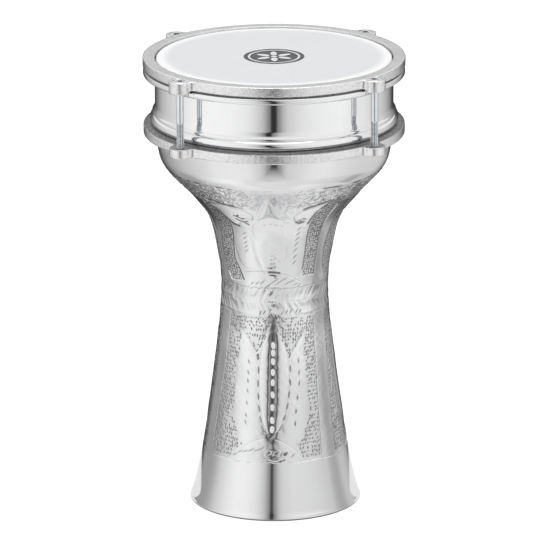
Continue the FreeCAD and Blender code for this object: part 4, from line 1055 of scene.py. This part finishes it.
# ============================================================ cast rings
def casting(node, name, body, voxel, rounds, amp, seed, shade, slope):
    """The ring as it leaves the mould: the CAD solid with softened edges and a
    slightly uneven skin."""
    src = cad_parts[node]
    tmp = bpy.data.objects.new(name + "_src", src.data.copy())
    SCN.collection.objects.link(tmp)
    mod = tmp.modifiers.new("skin", "REMESH")
    mod.mode = "VOXEL"
    mod.voxel_size = voxel
    mod.adaptivity = 0.0
    sm = tmp.modifiers.new("soft", "SMOOTH")
    sm.factor = 0.5
    sm.iterations = rounds
    bpy.context.view_layer.update()
    dg = bpy.context.evaluated_depsgraph_get()
    me = bpy.data.meshes.new_from_object(tmp.evaluated_get(dg))
    me.name = name
    bpy.data.objects.remove(tmp)
    me.materials.clear()
    n = len(me.vertices)
    co = np.zeros(n * 3, np.float32)
    me.vertices.foreach_get("co", co)
    co = co.reshape(-1, 3).astype(float)
    no = np.zeros(n * 3, np.float32)
    me.vertices.foreach_get("normal", no)
    no = no.reshape(-1, 3).astype(float)
    th = np.degrees(np.arctan2(co[:, 0], -co[:, 1]))
    z = co[:, 2] / MM
    d = waves(th, z, 26, 20, 75, seed, 4.0) * 0.6 + waves(th, z, 18, 5, 20, seed + 1, 3.0) * 0.6
    co += no * (np.clip(d, -1.6, 0.9) * amp * MM)[:, None]
    rad = np.hypot(co[:, 0], co[:, 1])
    co[:, 2] -= slope * MM * smoothstep(rad, 0.0965, 0.1012) * smoothstep(co[:, 2], 0.3005, 0.3050)
    co[:, :2] = np.clip(co[:, :2], CAD_BOX[0][0] + 2e-6, CAD_BOX[1][0] - 2e-6)
    co[:, 2] = np.minimum(co[:, 2], CAD_BOX[1][2] - 2e-6)
    me.vertices.foreach_set("co", co.astype(np.float32).ravel())
    me.polygons.foreach_set("use_smooth", np.ones(len(me.polygons), bool))
    rad = np.hypot(co[:, 0], co[:, 1])
    out_n = (no[:, 0] * co[:, 0] + no[:, 1] * co[:, 1]) / rad
    rub = smoothstep(out_n, 0.25, 0.80) * smoothstep(rad, 0.0990, 0.1005)
    rub = np.maximum(rub, smoothstep(rad, 0.1016, 0.1022) * smoothstep(np.hypot(no[:, 0], no[:, 1]), 0.6, 0.9))
    # edges lightened in the material as rubbed wear and as a painted highlight
    edge_wear_and_highlight = np.clip(np.minimum(np.abs(no[:, 2]), np.hypot(no[:, 0], no[:, 1])) * 2.2 - 0.45, 0, 1) * smoothstep(rad, 0.0990, 0.1005)
    # painted shade on the upward faces of the lower ring, under the bead and the top ring, a little less towards its
    # outer edge
    painted_top_face_shade = smoothstep(no[:, 2] * shade, 0.3, 0.8) * (1 - smoothstep(rad, 0.1000, 0.1012) * 0.35)
    for key, vals in (("rubbed", rub), ("edge", edge_wear_and_highlight), ("painted_top_face_shade", painted_top_face_shade)):
        at = me.attributes.new(key, "FLOAT", "POINT")
        at.data.foreach_set("value", vals.astype(np.float32))
    me.update()
    ob = bpy.data.objects.new(name, me)
    SCN.collection.objects.link(ob)
    me.materials.append(M_CAST)
    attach(ob, body)
    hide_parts(node)
    return ob


top_cast = casting("top_ring", "top_ring_cast", "tension_ring", 0.00065, 4, 0.06, 31, 0, 0.0)
low_cast = casting("lower_ring", "lower_ring_cast", "shell", 0.00065, 4, 0.06, 57, 1, 1.5)

# ============================================================ drumhead
hoop_prof = ([(92.95, 343.2), (96.0, 343.2), (99.6, 343.2)] + arc(99.75, 344.7, 1.5, -80, 0, 7)
             + [(101.25, 346.2), (101.22, 346.9)] + arc(100.1, 347.0, 1.1, 0, 78, 6)
             + [(100.2, 348.3), (100.15, 349.38), (100.06, 349.1), (100.05, 347.4), (100.05, 344.55), (99.9, 344.42), (94.1, 344.42),
                (93.9, 344.6), (93.9, 347.9), (93.75, 348.15), (93.3, 348.2), (92.85, 348.15), (92.7, 347.9),
                (92.7, 343.5)])
hv, hq = turned(hoop_prof, 480)
th = np.degrees(np.arctan2(hv[:, 0], -hv[:, 1]))
wob = waves(th, hv[:, 2], 12, 2, 14, 77) * 0.04
rad = np.hypot(hv[:, 0], hv[:, 1])
hv[:, 0] *= 1 + np.minimum(wob, 0) / rad
hv[:, 1] *= 1 + np.minimum(wob, 0) / rad
# painted shade: the punch attribute darkens the hoop's top lip where it meets the underside of the top ring, standing
# in for the shaded slot between them
painted_slot_shade = smoothstep(hv[:, 2], 347.7, 348.15) * smoothstep(rad, 97, 99)
hoop = build("flesh_hoop_rolled", hv, [hq], "drumhead", M_HOOP, ["flesh_hoop"], sharp=50,
             attrs={"punch": painted_slot_shade, "chase": painted_slot_shade * 0, "satin": painted_slot_shade * 0, "dull": painted_slot_shade * 0})

resin_prof = [(93.95, 344.45), (100.0, 344.45), (100.0, 348.95), (98.4, 348.7), (96.2, 348.75), (94.9, 349.0),
              (94.47, 349.08), (94.46, 345.58), (94.17, 345.58), (94.17, 348.1), (93.95, 348.15)]
rv, rq = turned(resin_prof, 240)
resin = build("hoop_resin_fill", rv, [rq], "drumhead", M_RESIN, ["hoop_resin"], sharp=40)

film_top = [(0.01, 356.10)] + [(r, 356.10) for r in np.linspace(4, 84, 21)] + [(87, 356.09), (88.6, 356.08), (89.5, 356.04)]
film_top += [(90.1, 355.93), (90.55, 355.68), (90.9, 355.32), (91.12, 354.85), (91.2, 354.35), (91.24, 353.4), (91.6, 352.3),
             (92.6, 350.9), (93.7, 350.1), (94.2, 349.75), (94.43, 349.2), (94.45, 348.2), (94.45, 345.65)]
film_in = [(94.2, 345.65), (94.2, 348.2), (94.18, 349.1), (93.95, 349.6), (93.45, 349.95), (92.4, 350.75), (91.4, 352.15),
           (91.05, 353.3), (91.0, 354.35), (90.94, 354.8), (90.74, 355.22), (90.42, 355.55), (90.0, 355.78), (89.4, 355.84)]
film_in += [(r, 355.85) for r in np.linspace(86, 4, 12)] + [(0.01, 355.85)]
fv, fq = turned((film_top + film_in)[::-1], 300)
film = build("head_film_skin", fv, [fq], "drumhead", M_FILM, ["head_film"])


# printed mark: a plain dark roundel with a pale ring and six petals
def flat_shape(name, loops, z, thick, mat):
    """Thin prisms from closed outlines (mm)."""
    v, tris, quads, base = [], [], [], 0
    for pts in loops:
        p = np.asarray(pts, float)
        n = len(p)
        c = p.mean(0)
        top = np.column_stack([p, np.full(n, z + thick)])
        bot = np.column_stack([p, np.full(n, z)])
        v += [top, bot, [[c[0], c[1], z + thick]], [[c[0], c[1], z]]]
        i = np.arange(n)
        j = (i + 1) % n
        tris.append(np.stack([base + i, base + j, np.full(n, base + 2 * n)], -1))
        tris.append(np.stack([base + n + j, base + n + i, np.full(n, base + 2 * n + 1)], -1))
        quads.append(np.stack([base + n + i, base + n + j, base + j, base + i], -1))
        base += 2 * n + 2
    return build(name, np.concatenate([np.asarray(x, float) for x in v]), [np.concatenate(quads), np.concatenate(tris)],
                 "drumhead", mat, sharp=30)


t = np.radians(np.arange(0, 360, 2.5))
disc = np.stack([23.5 * np.cos(t), 23.5 * np.sin(t)], -1)
flat_shape("head_mark_disc", [disc], 356.11, 0.03, M_INK)
petals = []
for k in range(6):
    a = math.radians(60 * k + 30)
    u = np.linspace(0, 2 * math.pi, 40, endpoint=False)
    px = 9.6 + 5.4 * np.cos(u)
    py = 2.5 * np.sin(u) * (1 - 0.25 * np.cos(u))
    petals.append(np.stack([px * math.cos(a) - py * math.sin(a), px * math.sin(a) + py * math.cos(a)], -1))
u = np.linspace(0, 2 * math.pi, 36, endpoint=False)
petals.append(np.stack([2.4 * np.cos(u), 2.4 * np.sin(u)], -1))
flat_shape("head_mark_petals", petals, 356.145, 0.02, M_INK_W)
ring_v, ring_q = turned([(18.6, 356.145), (20.2, 356.145), (20.2, 356.165), (18.6, 356.165)], 120)
build("head_mark_ring", ring_v, [ring_q], "drumhead", M_INK_W, sharp=30)


# ============================================================ tension bolts
def bolt_mesh():
    """M6 x 60 countersunk screw with a hexagon socket and a rolled thread."""
    cols = 48
    ph = np.arange(cols) * 2 * math.pi / cols
    top, tip = 356.55, 296.55
    rows = []

    def ring(r, z):
        rr = r if np.ndim(r) else np.full(cols, float(r))
        zz = z if np.ndim(z) else np.full(cols, float(z))
        rows.append(np.stack([rr * np.cos(ph), rr * np.sin(ph), zz], -1))

    ring(0.02, tip)
    ring(1.2, tip)
    ring(2.1, tip)
    z0, z1, pitch, depth = tip + 0.15, 324.0, 1.0, 0.56
    zs = np.arange(z0, z1, 0.1)
    for z in zs:
        f = ((z - tip) / pitch - ph / (2 * math.pi)) % 1.0
        tri = 1 - np.abs(2 * f - 1)                      # 0 at the crest, 1 at the root
        cut = depth * np.clip((tri - 0.16) / 0.68, 0, 1)
        fade = min(1.0, (z1 - z) / 1.4)
        bev = max(0.0, 0.8 - (z - tip)) * 0.9
        ring(np.maximum(2.99 - cut * fade - bev, 1.6), z)
    for z in (324.1, 324.6, 330, 340, 352.4):
        ring(2.98, z)
    ring(3.02, 353.3)
    ring(5.55, 355.83)
    ring(5.84, 356.12)
    ring(5.9, 356.28)
    ring(5.88, 356.46)
    ring(5.74, 356.55)
    ring(4.2, 356.55)
    ap = 2.0
    hexr = ap / np.cos(((ph + math.pi / 6) % (math.pi / 3)) - math.pi / 6)
    ring(hexr + 0.22, 356.55)
    ring(hexr + 0.03, 356.42)
    ring(hexr, 356.2)
    ring(hexr, 354.1)
    ring(hexr * 0.96, 353.96)
    ring(0.9, 353.6)
    ring(0.02, 353.45)
    g = np.stack(rows)
    n = len(rows)
    # painted shade in the recesses: the hex socket, the edge down in the countersink and the thread roots
    recess_shade = np.zeros(n)
    recess_shade[-5:] = 1.0
    recess_shade[-6] = 0.7
    recess_shade[-12] = 0.75       # the edge that sits down in the countersink
    recess_shade[-13] = 0.9
    thread = g[:, 0, 2] < z1 - 0.4
    deep = np.clip((2.93 - np.hypot(g[..., 0], g[..., 1])) / 0.5, 0, 1) * thread[:, None] * (g[:, :1, 2] > tip + 1.2)
    recess_shade = np.maximum(np.repeat(recess_shade[:, None], cols, 1), deep * 0.36)
    i, j = np.arange(n - 1)[:, None], np.arange(cols)[None]
    j2 = (j + 1) % cols
    q = np.stack([i * cols + j, i * cols + j2, (i + 1) * cols + j2, (i + 1) * cols + j], -1).reshape(-1, 4)
    return g.reshape(-1, 3), q, recess_shade.ravel()


BV, BQ, BO = bolt_mesh()
for k in range(4):
    node = "tension_bolt_%d" % (k + 1)
    lo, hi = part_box(node)
    c = (lo + hi) / 2 / MM
    rot = math.radians(17 + 41 * k)
    v = BV.copy()
    v[:, 0] = BV[:, 0] * math.cos(rot) - BV[:, 1] * math.sin(rot) + c.x
    v[:, 1] = BV[:, 0] * math.sin(rot) + BV[:, 1] * math.cos(rot) + c.y
    build("tension_screw_%d" % (k + 1), v, [BQ], "bolt_%d" % (k + 1), M_ZINC, [node], sharp=35, attrs={"painted_recess_shade": BO})

# ============================================================ camera
DIST, HIGH, PITCH, FPX = 4.4385, 1.4855, 0.2860, 5932.0
ROLL, YAW = 0.00308, 0.000052
ca = math.radians(TURN)
loc = Vector((-math.sin(ca) * DIST, -math.cos(ca) * DIST, HIGH))
fwd = Vector((math.sin(ca) * math.cos(PITCH), math.cos(ca) * math.cos(PITCH), -math.sin(PITCH)))
right = fwd.cross(Vector((0, 0, 1))).normalized()
fwd = (fwd + right * YAW).normalized()
right = fwd.cross(Vector((0, 0, 1))).normalized()
up = right.cross(fwd)
up = (up + right * ROLL).normalized()
right = fwd.cross(up).normalized()
cam_data = bpy.data.cameras.new("camera")
cam = bpy.data.objects.new("camera", cam_data)
SCN.collection.objects.link(cam)
cam_data.sensor_fit = "HORIZONTAL"
cam_data.sensor_width = 36.0
cam_data.lens = 36.0 * FPX / 550.0
cam_data.clip_start, cam_data.clip_end = 0.05, 60.0
m = Matrix((right, up, -fwd)).transposed().to_4x4()
m.translation = loc
cam.matrix_world = m
SCN.camera = cam
SCN.view_settings.view_transform = "Standard"
SCN.view_settings.look = "None"

# ============================================================ studio
# floor: a plain white sweep
me = bpy.data.meshes.new("studio_floor")
me.from_pydata([(-14, -14, 0), (14, -14, 0), (14, 14, 0), (-14, 14, 0)], [], [(0, 1, 2, 3)])
floor = bpy.data.objects.new("studio_floor", me)
SCN.collection.objects.link(floor)
fm = Nodes("studio_white")
em = fm.add("ShaderNodeEmission", {"Color": rgb(1.0), "Strength": 0.96})
df = fm.add("ShaderNodeBsdfDiffuse", {"Color": rgb(0.22)})
ad = fm.add("ShaderNodeAddShader", {0: em, 1: df})
back = fm.add("ShaderNodeNewGeometry").outputs["Backfacing"]
tr = fm.add("ShaderNodeBsdfTransparent")
me.materials.append(fm.finish(fm.add("ShaderNodeMixShader", {0: back, 1: ad, 2: tr}).outputs[0]))
floor.visible_glossy = False
# the small round turntable the drum stands on, as the polished metal sees it
F = Vector((-math.sin(ca), -math.cos(ca), 0))
R = Vector((math.cos(ca), -math.sin(ca), 0))
me = bpy.data.meshes.new("turntable")
tv = [(0.166 * math.cos(math.radians(k * 5)), 0.166 * math.sin(math.radians(k * 5)), -0.0006) for k in range(72)]
me.from_pydata(tv, [], [tuple(range(72))])
card = bpy.data.objects.new("turntable", me)
SCN.collection.objects.link(card)
tm = Nodes("turntable_white")
em = tm.add("ShaderNodeEmission", {"Color": rgb(1.0), "Strength": 0.84})
me.materials.append(tm.finish(em.outputs[0]))
for flag in ("visible_camera", "visible_diffuse", "visible_transmission", "visible_shadow", "visible_volume_scatter"):
    setattr(card, flag, False)

# studio light: two big soft boxes with a narrow dark gap behind the lens,
# a soft top light, and a dim room behind the drum
wd = Nodes("studio_light", world=True)
SCN.world = wd.owner
gen = wd.add("ShaderNodeTexCoord").outputs["Generated"]
dF = wd.add("ShaderNodeVectorMath", {0: gen, 1: (F.x, F.y, 0)}, operation="DOT_PRODUCT").outputs["Value"]
dR = wd.add("ShaderNodeVectorMath", {0: gen, 1: (R.x, R.y, 0)}, operation="DOT_PRODUCT").outputs["Value"]
dZ = wd.add("ShaderNodeSeparateXYZ", {0: gen}).outputs[2]
el = wd.math("MULTIPLY", wd.math("ARCSINE", dZ), 57.29578)
az = wd.math("MULTIPLY", wd.math("ARCTAN2", dR, dF), 57.29578)
near = wd.rng(wd.math("ABSOLUTE", az), 20.0, 60.0, 1.0, 0.0, True)
az = wd.math("ADD", az, wd.math("MULTIPLY", wd.rng(el, -14.0, 4.0, 0.4, 5.3, True), near))
mag = wd.math("DIVIDE", wd.math("ABSOLUTE", az), 180.0)


def ramp(stops, by=None, span=180.0, zero=0.0):
    n = wd.add("ShaderNodeValToRGB", {0: mag if by is None else by})
    cr = n.color_ramp
    cr.interpolation = "LINEAR"
    while len(cr.elements) > 1:
        cr.elements.remove(cr.elements[-1])
    cr.elements[0].position = (stops[0][0] - zero) / span
    cr.elements[0].color = rgb(stops[0][1])
    for p, val in stops[1:]:
        e = cr.elements.new((p - zero) / span)
        e.color = rgb(val)
    return n.outputs[0]


GAP = [(0, .035), (2.5, .035), (3.1, .19), (4.6, .27), (6.3, .34), (9, .50), (12, .62), (14, .67)]
GAPF = [(0, .07), (1.5, .09), (2.6, .24), (5.4, .35), (8, .47), (11.2, .60), (14, .66)]
FOOT_L = GAPF + [(18, .76), (24, .83), (30, .88), (38, .92), (46, .95), (58, .95), (64, .92), (70, .88), (76, .83), (81, .78),
                (87, .72), (93, .65), (99, .55), (104, .47), (110, .41), (118, .36), (139, .35), (145, .29), (152, .18),
                (160, .08), (180, .05)]
FOOT_R = GAPF + [(18, .71), (24, .74), (30, .77), (45, .77), (52, .75), (64, .72), (70, .69), (76, .66), (87, .62), (93, .50),
                (99, .44), (104, .42), (110, .45), (116, .53), (122, .58), (130, .57), (139, .50), (145, .45), (151, .38),
                (157, .25), (165, .10), (180, .05)]
WALL_L = GAP + [(18, .77), (24, .87), (30, .92), (36, .95), (42, .97), (54, 1.0), (66, 1.0), (72, .98), (84, .95), (90, .92),
                (96, .87), (108, .77), (115, .72), (121, .67), (127, .63), (133, .55), (139, .48), (145, .39), (151, .25),
                (157, .16), (163, .08), (180, .04)]
WALL_R = GAP + [(18, .72), (24, .79), (30, .85), (36, .89), (42, .92), (54, .95), (66, .97), (72, .95), (78, .90), (90, .86),
                (96, .85), (108, .74), (115, .68), (121, .67), (127, .62), (133, .54), (139, .45), (145, .35), (151, .23),
                (157, .10), (163, .05), (180, .04)]
BOWL_L = GAP + [(18, .74), (26, .85), (38, .89), (50, .89), (64, .86), (72, .80), (78, .76), (84, .73), (91, .69), (97, .65),
                (103, .62), (109, .58), (115, .53), (121, .48), (127, .43), (133, .39), (139, .33), (145, .27), (151, .20),
                (157, .11), (163, .08), (180, .05)]
BOWL_R = GAP + [(18, .69), (26, .75), (33, .80), (39, .84), (52, .87), (59, .85), (65, .82), (72, .79), (78, .77), (84, .74),
                (97, .71), (109, .70), (121, .68), (128, .67), (133, .65), (139, .61), (145, .53), (151, .44), (157, .30),
                (163, .16), (170, .06), (180, .05)]
side = wd.rng(az, -0.5, 0.5, 0.0, 1.0)
wall_e = wd.mixc(side, ramp(WALL_L), ramp(WALL_R))
bowl_e = wd.mixc(side, ramp(BOWL_L), ramp(BOWL_R))
env = wd.mixc(wd.rng(el, -16.0, -20.0, 0.0, 1.0), wall_e, bowl_e)
# the pale table fills the gap lower down
fill = ramp([(-90, .74), (-74, .76), (-59, .83), (-44, .76), (-36, .61), (-32, .43), (-28, .28), (-24, .08), (-20, .0), (90, 0)],
            wd.math("DIVIDE", wd.math("ADD", el, 90.0), 180.0), 180.0, -90.0)
front = wd.rng(wd.math("ABSOLUTE", az), 40.0, 75.0, 1.0, 0.0, True)
fill = wd.mixc(front, rgb(0.0), fill)
env = wd.mixc(1.0, env, fill, "LIGHTEN")
behind = wd.rng(wd.math("ABSOLUTE", az), 95.0, 130.0, 0.0, 1.0, True)
behind = wd.math("MULTIPLY", behind, wd.rng(el, 9.0, 15.0, 0.0, 1.0, True))
top_l = wd.math("MAXIMUM", wd.rng(el, 26.0, 48.0, 0.0, 1.0, True), behind)
env = wd.mixc(top_l, env, rgb(TOP))
# low flags standing round the table, seen only by the lower half of the drum
bm = Nodes("low_flags")
pos = bm.obj()
bF = bm.add("ShaderNodeVectorMath", {0: pos, 1: (F.x, F.y, 0)}, operation="DOT_PRODUCT").outputs["Value"]
bR = bm.add("ShaderNodeVectorMath", {0: pos, 1: (R.x, R.y, 0)}, operation="DOT_PRODUCT").outputs["Value"]
baz = bm.math("MULTIPLY", bm.math("ARCTAN2", bR, bF), 57.29578 / 0.91)
bnear = bm.rng(bm.math("ABSOLUTE", baz), 20.0, 60.0, 1.0, 0.0, True)
baz = bm.math("ADD", baz, bm.math("MULTIPLY", bnear, 5.2))
bmag = bm.math("DIVIDE", bm.math("ABSOLUTE", baz), 180.0)


def band_ramp(stops):
    n = bm.add("ShaderNodeValToRGB", {0: bmag})
    cr = n.color_ramp
    while len(cr.elements) > 1:
        cr.elements.remove(cr.elements[-1])
    cr.elements[0].position, cr.elements[0].color = stops[0][0] / 180.0, rgb(stops[0][1])
    for p, val in stops[1:]:
        cr.elements.new(p / 180.0).color = rgb(val)
    return n.outputs[0]


bt = bm.add("ShaderNodeBsdfTransparent")
bz = bm.add("ShaderNodeSeparateXYZ", {0: pos}).outputs[2]
fade = bm.math("MAXIMUM", bm.rng(bz, 0.066, 0.125, 0.0, 1.0, True), bm.rng(bz, -0.045, -0.065, 0.0, 1.0, True))
blade = bm.mixc(bm.rng(baz, -0.5, 0.5, 0.0, 1.0), band_ramp(FOOT_L), band_ramp(FOOT_R))
be = bm.add("ShaderNodeEmission", {"Color": blade, "Strength": 1.0})
me = bpy.data.meshes.new("low_flags")
na = 180
bv = [(0.3 * math.cos(2 * math.pi * k / na), 0.3 * math.sin(2 * math.pi * k / na), z) for z in (-0.065, 0.125) for k in range(na)]
me.from_pydata(bv, [], [(k, (k + 1) % na, na + (k + 1) % na, na + k) for k in range(na)])
me.materials.append(bm.finish(bm.add("ShaderNodeMixShader", {0: fade, 1: be, 2: bt}).outputs[0]))
flags = bpy.data.objects.new("low_flags", me)
SCN.collection.objects.link(flags)
for flag in ("visible_camera", "visible_diffuse", "visible_transmission", "visible_shadow", "visible_volume_scatter"):
    setattr(flags, flag, False)

# two small pale cards in front, which close the dark gap for the neck and for
# the underside of the bowl only
def front_card(name, radius, za, zb, zc, zd, wide_):
    m = Nodes(name)
    p = m.obj()
    f = m.add("ShaderNodeVectorMath", {0: p, 1: (F.x, F.y, 0)}, operation="DOT_PRODUCT").outputs["Value"]
    r = m.add("ShaderNodeVectorMath", {0: p, 1: (R.x, R.y, 0)}, operation="DOT_PRODUCT").outputs["Value"]
    a = m.math("MULTIPLY", m.math("ARCTAN2", r, f), 57.29578)
    z = m.add("ShaderNodeSeparateXYZ", {0: p}).outputs[2]
    k = m.math("MULTIPLY", m.rng(z, za, zb, 0.0, 1.0, True), m.rng(z, zc, zd, 1.0, 0.0, True))
    k = m.math("MULTIPLY", k, m.rng(m.math("ABSOLUTE", m.math("ADD", a, 1.5)), wide_, wide_ * 1.92, 1.0, 0.0, True))
    e = m.add("ShaderNodeEmission", {"Color": m.mixc(m.rng(a, -8.0, 8.0, 0.0, 1.0), rgb(0.80), rgb(0.76)), "Strength": 1.0})
    t = m.add("ShaderNodeBsdfTransparent")
    mesh = bpy.data.meshes.new(name)
    ang = [math.radians(d) for d in range(-30, 31, 2)]
    n = len(ang)
    mesh.from_pydata([tuple(radius * (math.cos(d) * F[i] + math.sin(d) * R[i]) for i in (0, 1)) + (h,)
                      for h in (za - 0.002, zd + 0.002) for d in ang], [], [(i, i + 1, n + i + 1, n + i) for i in range(n - 1)])
    mesh.materials.append(m.finish(m.add("ShaderNodeMixShader", {0: k, 1: t, 2: e}).outputs[0]))
    ob = bpy.data.objects.new(name, mesh)
    SCN.collection.objects.link(ob)
    for flag in ("visible_camera", "visible_diffuse", "visible_transmission", "visible_shadow", "visible_volume_scatter"):
        setattr(ob, flag, False)


front_card("front_card_neck", 0.112, 0.1460, 0.1500, 0.176, 0.190, 12.5)
front_card("front_card_bowl", 0.14, 0.163, 0.173, 0.228, 0.246, 13.5)

seen = wd.add("ShaderNodeLightPath").outputs["Is Camera Ray"]
env = wd.mixc(seen, env, rgb(1.0))
bg = wd.add("ShaderNodeBackground", {"Color": env, "Strength": 1.0})
out = wd.add("ShaderNodeOutputWorld")
wd.t.links.new(bg.outputs[0], out.inputs["Surface"])

# a large soft lamp overhead
ld = bpy.data.lights.new("top_softbox", "AREA")
ld.shape = "RECTANGLE"
ld.size, ld.size_y = 1.6, 1.6
ld.energy = 9.0
lamp = bpy.data.objects.new("top_softbox", ld)
lamp.location = (0.0, -0.2, 2.2)
SCN.collection.objects.link(lamp)
